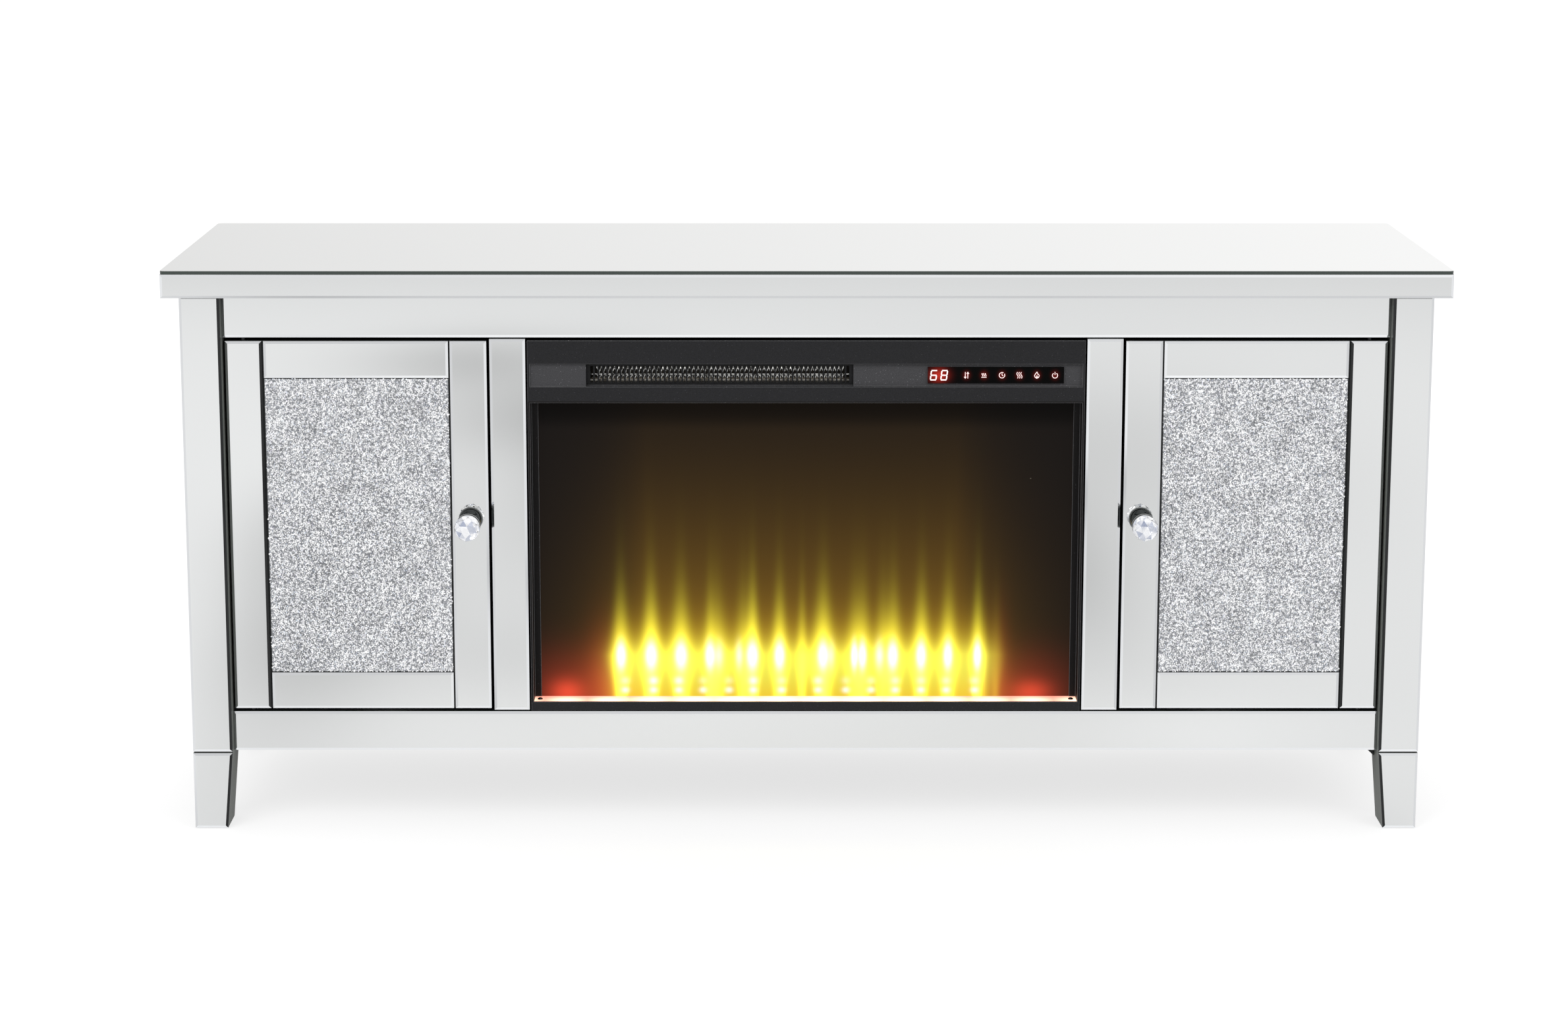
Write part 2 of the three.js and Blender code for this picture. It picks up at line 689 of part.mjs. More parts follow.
// Fireplace insert, the works: sheet-steel housing, heater, blower and turning flame spindle
function makeInsertWorks() {
  const innerBottomZ = bezelBottomZ + housingWall;
  const innerTopZ = bezelTopZ - housingWall;
  const wheelY = housingFrontY + wheelAxisDepth;
  const wheelZ = innerTopZ - wheelTopGap - wheelRadius;
  const spindleY = housingFrontY + spindleAxisDepth;
  const spindleZ = innerBottomZ + spindleRise;
  const boreRadius = journalRadius + runningGap;

  const outer = slabOf(-bezelHalf, bezelHalf, housingFrontY, housingRearY, bezelBottomZ, bezelTopZ);
  const inner = slabOf(
    -housingInnerX, housingInnerX, housingFrontY - cutOverrun, housingRearY - housingWall,
    innerBottomZ, innerTopZ,
  );
  const bossEndX = -housingInnerX + bearingBossLength;
  const bossStartX = -bezelHalf + housingWall / 2;
  const bores = [[wheelY, wheelZ], [spindleY, spindleZ]];
  const bosses = bores.map(([y, z]) => rod(bearingBossRadius, bossStartX, bossEndX, y, z));
  const boreStartX = bossEndX - bearingEngagement - runningGap;
  const drills = bores.map(([y, z]) => rod(boreRadius, boreStartX, bossEndX + cutOverrun, y, z));
  const tray = cut(outer, inner);
  add('insert_housing', cut(join(tray, ...bosses), ...drills), sheetFinish);

  const heater = slabOf(
    blankPanelEndX + heaterMargin, grilleEndX - heaterMargin,
    bezelRearY + seatGap, bezelRearY + seatGap + heaterDepth,
    windowTopZ + screenTopMargin + seatGap, recessTopZ,
  );
  add('heating_element', heater, steelFinish);

  const journalStartX = bossEndX - bearingEngagement;
  const wheelMiddleX = (blankPanelEndX + grilleEndX) / 2;
  const wheel0 = wheelMiddleX - wheelLength / 2;
  const wheel1 = wheelMiddleX + wheelLength / 2;
  const motor0 = wheel1 + motorGap;
  const wheelShape = starOutline(wheelBladeCount, wheelHubRadius, wheelRadius, Math.PI / wheelBladeCount / 4);
  const wheel = rotor(wheelShape, wheel0, wheel1, journalStartX, motor0 + motorEngagement, wheelY, wheelZ);
  add('blower_wheel', wheel, motorFinish);

  const motorShape = new THREE.Shape();
  motorShape.moveTo(-motorRadius, innerTopZ - seatGap - wheelZ);
  motorShape.lineTo(-motorRadius, 0);
  motorShape.absarc(0, 0, motorRadius, Math.PI, Math.PI * 2);
  motorShape.lineTo(motorRadius, innerTopZ - seatGap - wheelZ);
  const motorBody = sideProfile(motorShape, motor0, motor0 + motorLength);
  motorBody.translate(0, wheelY, wheelZ);
  const motorBore = rod(
    boreRadius, motor0 - cutOverrun, motor0 + motorEngagement + runningGap, wheelY, wheelZ,
  );
  add('blower_motor', cut(motorBody, motorBore), motorFinish);

  const spindleMotor1 = housingInnerX - seatGap;
  const spindleMotor0 = spindleMotor1 - spindleMotorLength;
  const spindle0 = bossEndX + spindleEndGap;
  const spindle1 = spindleMotor0 - spindleEndGap;
  const vaneHalfAngle = Math.asin(spindleVaneThickness / 2 / spindleVaneRadius);
  const vanes = starOutline(spindleVaneCount, spindleRodRadius, spindleVaneRadius, vaneHalfAngle);
  const journalEnd = spindleMotor0 + motorEngagement;
  const spindle = rotor(vanes, spindle0, spindle1, journalStartX, journalEnd, spindleY, spindleZ);
  add('flame_spindle', spindle, steelFinish);

  const spindleMotor = rod(spindleMotorRadius, spindleMotor0, spindleMotor1, spindleY, spindleZ);
  const spindleBore = rod(
    boreRadius, spindleMotor0 - cutOverrun, spindleMotor0 + motorEngagement + runningGap, spindleY, spindleZ,
  );
  add('spindle_motor', cut(spindleMotor, spindleBore), motorFinish);
}

makeTop();
makeLegs();
makeSides();
makeCarcass();
makeFrontFrame();
makeDoors();
makeInsertFront();
makeInsertWorks();

export default group;
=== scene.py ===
# %% [markdown]
# # A mirrored tv stand with an electric fireplace
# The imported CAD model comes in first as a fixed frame. Every piece made below takes its place from
# that frame and rides on one of its bodies, so that the doors carry their own crystals and knobs.

# %% Load the frame
import math

import bmesh
import bpy
from mathutils import Matrix, Vector


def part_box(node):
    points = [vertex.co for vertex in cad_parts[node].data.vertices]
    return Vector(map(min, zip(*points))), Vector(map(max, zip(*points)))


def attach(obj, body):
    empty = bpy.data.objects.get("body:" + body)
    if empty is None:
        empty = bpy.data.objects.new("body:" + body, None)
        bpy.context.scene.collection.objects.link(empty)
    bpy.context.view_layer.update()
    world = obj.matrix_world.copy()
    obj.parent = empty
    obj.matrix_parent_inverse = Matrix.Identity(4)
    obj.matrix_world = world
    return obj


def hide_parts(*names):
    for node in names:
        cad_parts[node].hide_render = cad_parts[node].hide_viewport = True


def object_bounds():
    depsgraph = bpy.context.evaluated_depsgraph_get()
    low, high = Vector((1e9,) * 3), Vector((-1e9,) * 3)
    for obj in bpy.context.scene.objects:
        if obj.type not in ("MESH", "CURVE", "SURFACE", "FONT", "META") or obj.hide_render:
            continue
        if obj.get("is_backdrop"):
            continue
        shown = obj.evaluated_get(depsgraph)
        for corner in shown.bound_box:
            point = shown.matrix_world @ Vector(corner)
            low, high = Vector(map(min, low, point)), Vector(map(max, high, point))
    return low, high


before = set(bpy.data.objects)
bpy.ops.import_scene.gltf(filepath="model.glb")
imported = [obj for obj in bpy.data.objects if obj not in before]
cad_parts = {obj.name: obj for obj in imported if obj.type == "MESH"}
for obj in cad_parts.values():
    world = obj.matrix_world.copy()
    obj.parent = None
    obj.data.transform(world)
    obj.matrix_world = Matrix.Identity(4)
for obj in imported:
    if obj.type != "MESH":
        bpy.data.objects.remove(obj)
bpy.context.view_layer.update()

SIDES = ("left", "right")
MM = 0.001

# %% [markdown]
# ## Helpers for objects and meshes
# A shape is made in a bmesh, turned into a mesh, and given to an object that stays at the origin, as the
# CAD nodes do. Its place is in its mesh.


# %% Objects and meshes
def in_scene(name, data):
    """A new object at the origin, linked to the scene."""
    made = bpy.data.objects.new(name, data)
    bpy.context.scene.collection.objects.link(made)
    return made


def moved(form, way):
    bmesh.ops.translate(form, verts=form.verts, vec=way)


def made_mesh(form, name, *finishes):
    """Turns a bmesh into a mesh with its finishes."""
    mesh = bpy.data.meshes.new(name)
    form.to_mesh(mesh)
    form.free()
    for finish in finishes:
        mesh.materials.append(finish)
    return mesh


# %% [markdown]
# ## The camera
# The cabinet was photographed from above its own top, with the camera level enough to keep the legs
# upright. Such a picture comes from a shifted lens. A small shift and a slight downward tilt together
# give nearly the same perspective, and the object stays well inside the frame.

# %% Camera
IMAGE_WIDTH = 2380
FOCAL_PIXELS = 4757
SENSOR_WIDTH = 36.0
LENS_SHIFT = (0.0108, -0.12)
CAMERA_PLACE = (-0.046, -3.7776, 1.240)
CAMERA_PITCH = 80.16
camera_data = bpy.data.cameras.new("photo_camera")
camera_data.sensor_width = SENSOR_WIDTH
camera_data.lens = FOCAL_PIXELS / IMAGE_WIDTH * SENSOR_WIDTH
camera_data.shift_x, camera_data.shift_y = LENS_SHIFT
camera = in_scene("photo_camera", camera_data)
camera.location = CAMERA_PLACE
camera.rotation_euler = (math.radians(CAMERA_PITCH), 0, 0)
bpy.context.scene.camera = camera
bpy.context.scene.view_settings.view_transform = "Standard"
print("lens", round(camera_data.lens, 2), "mm")

# %% [markdown]
# ## Helpers for node trees
# A material is a small graph. Writing each node with its inputs on one line keeps the graphs readable:
# an input is either a plain value or the output of another node.


# %% Node helpers
class Work:
    """Knows the node tree that is being built; all helpers add to it."""
    tree = None


def set_input(socket, value):
    """Gives a socket another node's output, a plain value, or a colour of three numbers."""
    if isinstance(value, bpy.types.NodeSocket):
        Work.tree.links.new(value, socket)
    elif socket.type == "RGBA":
        socket.default_value = (*value[:3], 1.0)
    else:
        socket.default_value = value


def feed(sockets, **sources):
    """Gives named sockets their sources; a name is written with _ for a space."""
    for label, source in sources.items():
        set_input(sockets[label.replace("_", " ")], source)


def any_node(kind, inputs=None, **settings):
    """Adds a node of any kind; each input is a value or another node's output."""
    made = Work.tree.nodes.new(kind)
    for name, value in settings.items():
        setattr(made, name, value)
    for socket, value in (inputs or {}).items():
        set_input(made.inputs[socket], value)
    return made


def node(kind, inputs=None, **settings):
    """Adds a shader node."""
    return any_node("ShaderNode" + kind, inputs, **settings)


def calc(operation, *values, clamp=False):
    """One sum on numbers."""
    return node("Math", dict(enumerate(values)), operation=operation, use_clamp=clamp).outputs[0]


def times(first, second):
    return calc("MULTIPLY", first, second)


def minus(first, second):
    return calc("SUBTRACT", first, second)


def falling(value):
    """1 where the value is 0, and less the larger it is."""
    return calc("EXPONENT", times(value, -1.0))


def fitted(value, factor, base, clamp=False):
    """value * factor + base."""
    return calc("MULTIPLY_ADD", value, factor, base, clamp=clamp)


def mixed(factor, first, second):
    """first where factor is 0, second where it is 1."""
    return node("Mix", {0: factor, 6: first, 7: second}, data_type="RGBA").outputs[2]


def ramped(value, stops, interpolation="LINEAR"):
    """The colour that a row of stops, each a position and a colour, gives a number."""
    made = node("ValToRGB", {"Fac": value})
    made.color_ramp.interpolation = interpolation
    elements = made.color_ramp.elements
    for index, (position, colour) in enumerate(stops):
        stop = elements[index] if index < 2 else elements.new(position)
        stop.position, stop.color = position, (*colour[:3], 1.0)
    return made.outputs[0]


def lit(colour, amount):
    """A colour made brighter or darker by a number."""
    return node("VectorMath", {0: colour, "Scale": amount}, operation="SCALE").outputs[0]


def added(*colours):
    """Lights added on top of each other."""
    total = colours[0]
    for colour in colours[1:]:
        total = node("VectorMath", {0: total, 1: colour}, operation="ADD").outputs[0]
    return total


def object_place():
    """The X, Y and Z of the surface in the object's own metres."""
    place = node("TexCoord").outputs["Object"]
    return node("SeparateXYZ", {0: place}).outputs


def in_millimetres(*values):
    return [times(value, 1000.0) for value in values]


def new_group(name, inputs, outputs):
    """A shader node group with named number or vector sockets."""
    Work.tree = group = bpy.data.node_groups.new(name, "ShaderNodeTree")
    for label, value in inputs.items():
        kind = "NodeSocketFloat" if isinstance(value, (int, float)) else "NodeSocketVector"
        group.interface.new_socket(label, in_out="INPUT", socket_type=kind).default_value = value
    for label in outputs:
        group.interface.new_socket(label, in_out="OUTPUT", socket_type="NodeSocketFloat")
    return group, group.nodes.new("NodeGroupInput").outputs, group.nodes.new("NodeGroupOutput").inputs


def use_group(group, **inputs):
    """Adds a group."""
    placed = node("Group", node_tree=group)
    feed(placed.inputs, **inputs)
    return placed.outputs


# %% [markdown]
# ## Effects that several finishes share
# A soft spot of light serves for a flame's hot core, for the lamps under the ledge and for the glow
# round a lit sign.

# %% A soft spot
glow_spot, given, result = new_group(
    "glow_spot",
    {"Across": 0.0, "Up": 0.0, "Middle": 0.0, "Level": 0.0, "Half Width": 1.0, "Half Height": 1.0,
     "Sharpness": 1.0},
    ["Glow"],
)
offset_x = minus(given["Across"], given["Middle"])
offset_z = minus(given["Up"], given["Level"])
share_x = calc("DIVIDE", offset_x, given["Half Width"])
share_z = calc("DIVIDE", offset_z, given["Half Height"])
square_x = times(share_x, share_x)
square_z = times(share_z, share_z)
far = calc("POWER", calc("ADD", square_x, square_z), given["Sharpness"])
glow = falling(far)
feed(result, Glow=glow)


def soft_spot(across, up, middle, level, half_width, half_height, sharpness=1.0):
    """1 in the middle of a soft spot and 0 far from it."""
    return use_group(
        glow_spot, Across=across, Up=up, Middle=middle, Level=level,
        Half_Width=half_width, Half_Height=half_height, Sharpness=sharpness,
    )["Glow"]


print(glow_spot.name, len(glow_spot.nodes), "nodes")

# %% [markdown]
# Ground glass needs to know whether a face is its front, its bevel or its raw edge, and which way a
# bevel looks: the face's own direction tells.

# %% Faces of ground glass
glass_faces, given, result = new_group(
    "glass_faces", {"Front": (0.0, 1.0, 0.0)}, ["Bevel", "Edge", "Lower", "Upper", "Outward"]
)
EDGE_FACING = 0.3
FLAT_FACING = 0.985
CLEAR_SLANT = 0.2
direction = node("TexCoord").outputs["Normal"]
slant = node("SeparateXYZ", {0: direction}).outputs
facing = node("VectorMath", {0: direction, 1: given["Front"]}, operation="DOT_PRODUCT")
frontal = calc("ABSOLUTE", facing.outputs["Value"])
edge = calc("LESS_THAN", frontal, EDGE_FACING)
slanted = calc("LESS_THAN", frontal, FLAT_FACING)
feed(
    result,
    Bevel=minus(slanted, edge),
    Edge=edge,
    Lower=calc("LESS_THAN", slant["Z"], -CLEAR_SLANT),
    Upper=calc("GREATER_THAN", slant["Z"], CLEAR_SLANT),
)
sideways = times(slant["X"], object_place()[0])
feed(result, Outward=calc("GREATER_THAN", sideways, 0.0))
print(glass_faces.name, len(glass_faces.nodes), "nodes")

# %% [markdown]
# Grain and dust are noise at two scales. Hardly any painted or moulded surface is without them.

# %% Grain and dust
fine_grain, given, result = new_group("fine_grain", {"Scale": 800.0, "Contrast": 1.0}, ["Grain"])
place = node("TexCoord").outputs["Object"]
noise = node(
    "TexNoise", {"Vector": place, "Scale": given["Scale"], "Detail": 3.0, "Roughness": 0.6}
)
centred = minus(noise.outputs["Fac"], 0.5)
grain = fitted(centred, given["Contrast"], 0.5, clamp=True)
feed(result, Grain=grain)

dust, given, result = new_group("dust", {"Scale": 60.0, "Size": 0.06, "Amount": 0.2}, ["Speck"])
place = node("TexCoord").outputs["Object"]
cells = node("TexVoronoi", {"Vector": place, "Scale": given["Scale"]}, feature="F1")
chance = node("SeparateColor", {0: cells.outputs["Color"]}).outputs[0]
near = calc("LESS_THAN", cells.outputs["Distance"], given["Size"])
chosen = calc("LESS_THAN", chance, given["Amount"])
feed(result, Speck=times(near, chosen))


def grain_of(scale, contrast):
    return use_group(fine_grain, Scale=scale, Contrast=contrast)["Grain"]


print("groups", [group.name for group in bpy.data.node_groups])

# %% [markdown]
# ## Floor, background and light
# The photograph has a white floor and backdrop. The floor is a pale matt plane with its own white
# added only for rays from the camera and from glossy or clear surfaces, so that the object's shadow
# still shows and no extra light falls on the object. The mirrors show the studio floor, which is a
# little darker or paler in a few soft patches: that gives the strips their uneven greys.

# %% Floor
FLOOR_HALF_SIZE = 30.0
FLOOR_GREY = 0.37
floor_form = bmesh.new()
bmesh.ops.create_grid(floor_form, x_segments=1, y_segments=1, size=FLOOR_HALF_SIZE)
floor = in_scene("studio_floor", made_mesh(floor_form, "studio_floor"))
floor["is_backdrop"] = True

WHITE = (1.0, 1.0, 1.0, 1.0)


def studio_rays():
    """Two masks: rays that see the studio directly or through glass, and mirrored rays."""
    rays = node("LightPath").outputs
    clear_view = calc("MAXIMUM", rays["Is Camera Ray"], rays["Is Transmission Ray"])
    return clear_view, rays["Is Glossy Ray"]


floor_finish = bpy.data.materials.new("studio_floor")
floor_finish.use_nodes = True
Work.tree = floor_finish.node_tree
Work.tree.nodes.clear()
x, y, z = object_place()
# Each patch: its middle, its half widths along X and Y, and how much darker it is.
PATCHES = [
    (-0.71, -0.97, 0.16, 0.61, 0.30),
    (-0.68, -3.23, 0.26, 0.35, 0.28),
    (0.37, -1.40, 0.16, 0.55, 0.30),
    (-0.53, -2.64, 0.25, 0.41, 0.25),
    (-1.02, -5.06, 5.67, 0.99, 0.07),
    (0.51, -2.28, 0.45, 0.86, 0.20),
    (0.53, -0.52, 0.19, 0.20, -0.09),
    (-0.51, -0.58, 0.71, 0.31, -0.09),
    (-0.92, -0.87, 0.16, 1.24, -0.09),
    (-0.38, -2.16, 0.16, 0.90, 0.25),
    (-0.39, -0.87, 0.16, 0.25, 0.10),
    (-0.79, -1.69, 0.16, 0.49, 0.29),
]
MIRRORED_WHITE = 0.981
shade = MIRRORED_WHITE
for *patch, strength in PATCHES:
    shade = minus(shade, times(soft_spot(x, y, *patch), strength))
clear_view, mirrored = studio_rays()
mirror_view = times(mirrored, minus(shade, FLOOR_GREY))
# Near the object the lamps light the floor too, so it needs less white of its own.
near = soft_spot(x, y, 0.0, 0.0, 2.2, 1.6)
backdrop_white = minus(0.86, times(near, 0.13))
own_white = calc("MAXIMUM", times(clear_view, backdrop_white), mirror_view)
matt = node("BsdfDiffuse", {"Color": (FLOOR_GREY,) * 3})
white = node("Emission", {"Color": WHITE, "Strength": own_white})
both = node("AddShader", {0: matt.outputs[0], 1: white.outputs[0]})
node("OutputMaterial", {"Surface": both.outputs[0]})
floor.data.materials.append(floor_finish)
print("floor patches", len(PATCHES))

# %% [markdown]
# The background is white to the camera. Mirrors see a room that is a little brighter on its right, and
# other surfaces get one even light. Three large lamps add soft shading, hidden from reflections.

# %% Background and lamps
world = bpy.data.worlds.new("studio")
bpy.context.scene.world = world
world.use_nodes = True
Work.tree = world.node_tree
Work.tree.nodes.clear()
clear_view, mirrored = studio_rays()
direction = node("SeparateXYZ", {0: node("TexCoord").outputs["Generated"]}).outputs
EVEN_LIGHT = 0.62
slope = fitted(direction["X"], 0.45, 0.93)
evened = calc("MINIMUM", calc("MAXIMUM", slope, 0.82), 1.08)
ambient = calc("MAXIMUM", times(mirrored, evened), EVEN_LIGHT)
strength = calc("MAXIMUM", clear_view, ambient)
sky = node("Background", {"Color": WHITE, "Strength": strength})
node("OutputWorld", {"Surface": sky.outputs[0]})

# Each lamp: its name, place, width and power. All of them aim at the middle of the cabinet.
LAMPS = [
    ("key_lamp", (-2.2, -3.0, 3.2), 2.6, 62.0),
    ("fill_lamp", (2.6, -2.4, 2.6), 2.2, 26.0),
    ("back_lamp", (0.6, 3.0, 2.8), 2.2, 26.0),
]
LAMP_AIM = Vector((0.0, 0.0, 0.35))
for name, location, size, power in LAMPS:
    lamp_data = bpy.data.lights.new(name, "AREA")
    lamp_data.size = size
    lamp_data.energy = power
    lamp = in_scene(name, lamp_data)
    lamp.location = location
    lamp.rotation_euler = (LAMP_AIM - Vector(location)).to_track_quat("-Z", "Y").to_euler()
    lamp.visible_glossy = False
print("lamps", len(LAMPS))


# %% [markdown]
# ## Finishes
# Each finish is one Principled shader with its variation from the shared effects. Numbers that are the
# same all over a surface are set on the shader itself.


# %% Start of a finish
def new_finish(name, **plain):
    """A material with one Principled shader; returns it with the shader's inputs."""
    finish = bpy.data.materials.new(name)
    finish.use_nodes = True
    shader = finish.node_tree.nodes["Principled BSDF"]
    Work.tree = finish.node_tree
    feed(shader.inputs, **plain)
    return finish, shader.inputs


def mottled(name, dark, light, scale, contrast, spread, rough, **plain):
    """A finish whose colour and roughness follow one grain; returns it with the shader's inputs."""
    finish, shader = new_finish(name, **plain)
    grain = grain_of(scale, contrast)
    feed(shader, Base_Color=mixed(grain, dark, light), Roughness=fitted(grain, spread, rough))
    return finish, shader


def embossed(shader, height, strength, distance):
    """Raises the surface a little where the height is large."""
    bump = node("Bump", {"Strength": strength, "Distance": distance, "Height": height})
    feed(shader, Normal=bump.outputs[0])


# %% [markdown]
# Mirror glass is silvered on its back. Each polished bevel gets a painted reflection in its colour, set
# by the way it faces: bright on the lower ones, as if they showed the floor, greyer on the outer ones,
# and on the posts and the doors' outer strips nearly black on the inner ones, as if they showed the dark
# gap beside them. The ground edges show the glass itself, nearly black green.
# One function makes the finish for panes that face the front, a side, or up.

# %% Mirror glass
SILVER = (0.80, 0.81, 0.81)
GLASS_EDGE = (0.026, 0.038, 0.032)
TO_FRONT, TO_SIDE, TO_TOP = (0.0, 1.0, 0.0), (1.0, 0.0, 0.0), (0.0, 0.0, 1.0)


def silvered(share):
    """The slightly blue silver of a bevel at this share of the light: a painted reflection."""
    return share * 0.985, share, share * 1.02


def mirror_glass(
    name, front, silver=SILVER, edge=GLASS_EDGE, lower=0.94, upper=0.70, inward=0.82, outward=0.66,
):
    """Silvered glass; the last four numbers are the brightness of the painted reflections on its bevels.
    """
    finish, shader = new_finish(name, Specular_IOR_Level=0.4)
    faces = use_group(glass_faces, Front=front)
    haze = grain_of(3.0, 1.2)
    hazed = mixed(haze, tuple(v * 0.985 for v in silver), silver)
    upright = mixed(faces["Outward"], silvered(inward), silvered(outward))
    upper_too = mixed(faces["Upper"], upright, silvered(upper))
    painted_bevel_reflection = mixed(faces["Lower"], upper_too, silvered(lower))
    bevelled = mixed(faces["Bevel"], hazed, painted_bevel_reflection)
    feed(shader, Base_Color=mixed(faces["Edge"], bevelled, edge), Metallic=minus(1.0, faces["Edge"]))
    smooth = fitted(haze, 0.02, 0.02)
    feed(shader, Roughness=fitted(faces["Edge"], 0.3, smooth))
    return finish


# The bevels carry painted reflections: nearly black on the inner bevels of the posts, feet and doors'
# outer strips, darker on the fascia's lower bevel.
strip_mirror = mirror_glass("strip_mirror", TO_FRONT)
outer_mirror = mirror_glass("outer_mirror", TO_FRONT, inward=0.035, outward=0.74)
fascia_mirror = mirror_glass("fascia_mirror", TO_FRONT, lower=0.66, upper=0.84, outward=0.90)
side_mirror = mirror_glass("side_mirror", TO_SIDE)
top_mirror = mirror_glass("top_mirror", TO_TOP, (0.84, 0.842, 0.832), (0.060, 0.075, 0.068))
print("mirrors", [finish.name for finish in bpy.data.materials if "mirror" in finish.name])

# %% [markdown]
# The boards behind the glass are fibreboard with a dark grey rolled paint, which has a faint orange peel
# and a slightly uneven sheen. The legs have a silver grey of the same kind. The insert is black: grained
# plastic in front, with painted shade where it frames the screen, and powder-coated sheet behind.

# %% Boards, plastics and metals
def rolled_paint(name, dark, light):
    """Paint with an orange peel and a cloudy sheen."""
    finish, shader = mottled(name, dark, light, 9.0, 1.6, 0.15, 0.45, Specular_IOR_Level=0.35)
    embossed(shader, grain_of(900.0, 1.4), 0.25, 0.4 * MM)
    return finish


def grained_plastic(name, dark, light, scale, specular, speckle, painted_shade_band=None):
    """Black plastic with a fine grain and pale specks, with painted shade between two levels where they
    are given.
    """
    finish, shader = new_finish(name, Specular_IOR_Level=specular)
    grain = grain_of(scale, 2.5)
    specks = use_group(dust, Scale=620.0, Size=0.24, Amount=speckle)["Speck"]
    body = mixed(grain, dark, light)
    if painted_shade_band:
        level = object_place()["Z"]
        over = calc("GREATER_THAN", level, painted_shade_band[0])
        inside = times(over, calc("LESS_THAN", level, painted_shade_band[1]))
        body = mixed(inside, body, (0.004, 0.003, 0.003))
    speck_colour = tuple(value * 2.6 for value in light)
    feed(shader, Base_Color=mixed(specks, body, speck_colour), Roughness=fitted(grain, 0.2, 0.38))
    embossed(shader, grain, 0.35, 0.3 * MM)
    return finish


def plain_metal(name, dark, light, rough, stretch):
    """Metal with marks drawn out along one axis by the mapping."""
    finish, shader = new_finish(name, Metallic=1.0)
    place = node("TexCoord").outputs["Object"]
    drawn = node("Mapping", {"Vector": place, "Scale": stretch})
    marks = node("TexNoise", {"Vector": drawn.outputs[0], "Scale": 300.0, "Detail": 4.0})
    feed(
        shader,
        Base_Color=mixed(marks.outputs["Fac"], dark, light),
        Roughness=fitted(marks.outputs["Fac"], 0.18, rough),
    )
    return finish


painted_board = rolled_paint("painted_board", (0.030, 0.032, 0.033), (0.046, 0.048, 0.049))
leg_paint = rolled_paint("leg_paint", (0.170, 0.180, 0.165), (0.205, 0.217, 0.200))
# The plastic round the screen, between these two levels, gets painted shade.
SCREEN_TOP_HIDDEN = 16 * MM
screen_levels = (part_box("ember_ledge")[1].z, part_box("flame_screen")[1].z - SCREEN_TOP_HIDDEN)
black_plastic = grained_plastic(
    "black_plastic", (0.010, 0.010, 0.011), (0.026, 0.026, 0.029), 1400.0, 0.22, 0.05,
    screen_levels,
)
panel_plastic = grained_plastic(
    "panel_plastic", (0.040, 0.040, 0.043), (0.098, 0.097, 0.104), 1400.0, 0.25, 0.10,
)
# A lighter plastic for the rounded edges of the bezel: a painted highlight along them.
edge_highlight_plastic = grained_plastic(
    "edge_highlight_plastic", (0.085, 0.085, 0.09), (0.15, 0.15, 0.155), 900.0, 0.3, 0.05,
)
grille_plastic = grained_plastic(
    "grille_plastic", (0.006, 0.006, 0.007), (0.014, 0.014, 0.015), 1400.0, 0.2, 0.01,
)
sheet_steel = grained_plastic(
    "sheet_steel", (0.014, 0.014, 0.015), (0.024, 0.024, 0.025), 700.0, 0.35, 0.0,
)
steel = plain_metal("steel", (0.42, 0.42, 0.43), (0.62, 0.62, 0.63), 0.22, (0.1, 1.0, 1.0))
pin_steel = plain_metal("pin_steel", (0.03, 0.03, 0.032), (0.07, 0.07, 0.073), 0.35, (1.0, 1.0, 0.1))
motor_metal = plain_metal("motor_metal", (0.22, 0.23, 0.24), (0.38, 0.39, 0.40), 0.35, (0.3, 1.0, 1.0))
print("finishes", len(bpy.data.materials))


# %% [markdown]
# ## Dressing the CAD parts
# A CAD part whose shape is already right, such as a bevelled strip of mirror, only gets its finish.


# %% Dress the mirrors and the works
def dress(finish, *nodes):
    for name in nodes:
        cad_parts[name].material_slots[0].material = finish


def both_sides(*patterns):
    return [pattern.format(side) for pattern in patterns for side in SIDES]


dress(top_mirror, "top_mirror")
dress(side_mirror, *both_sides("fascia_mirror_{}", "side_mirror_{}"))
dress(fascia_mirror, "fascia_mirror_front")
dress(outer_mirror, *both_sides("post_mirror_{}", "foot_mirror_{}", "door_outer_mirror_{}"))
dress(strip_mirror, "top_rail_mirror", "bottom_rail_mirror", *both_sides("stile_mirror_{}"))
dress(strip_mirror, *both_sides("door_inner_mirror_{}", "door_lower_mirror_{}", "door_upper_mirror_{}"))
dress(painted_board, "floor_panel", "top_rail", "bottom_rail", "back_panel")
dress(painted_board, *both_sides("side_panel_{}", "divider_{}"))
dress(steel, "flame_spindle")
dress(pin_steel, *both_sides("hinge_pin_lower_{}", "hinge_pin_upper_{}"))
dress(motor_metal, "blower_wheel", "blower_motor", "spindle_motor")
dress(sheet_steel, "insert_housing")
dress(grille_plastic, "heater_grille")
print("mirror panes", sum("mirror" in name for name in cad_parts))


# %% [markdown]
# ## Pieces with softened edges
# Painted boards and moulded plastic never have razor edges. A merged copy of the CAD solid, its flat
# faces dissolved and its long edges bevelled, stands for the original.


# %% Softened copies
MERGED = 1e-6
BOARD_ROUNDING = 0.8 * MM
PLASTIC_ROUNDING = 0.5 * MM


def finished_piece(form, name, body, slot, *finishes):
    """Turns a bmesh into an object that rides on a body."""
    piece = in_scene(name, made_mesh(form, name, *finishes))
    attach(piece, body)
    return piece


def bevelled(form, edges, width, segments, clamped=False):
    """Takes the edges off by width and returns the new faces."""
    return bmesh.ops.bevel(
        form, geom=edges, offset=width, offset_type="OFFSET", segments=segments, profile=0.5,
        affect="EDGES", clamp_overlap=clamped, material=-1,
    )["faces"]


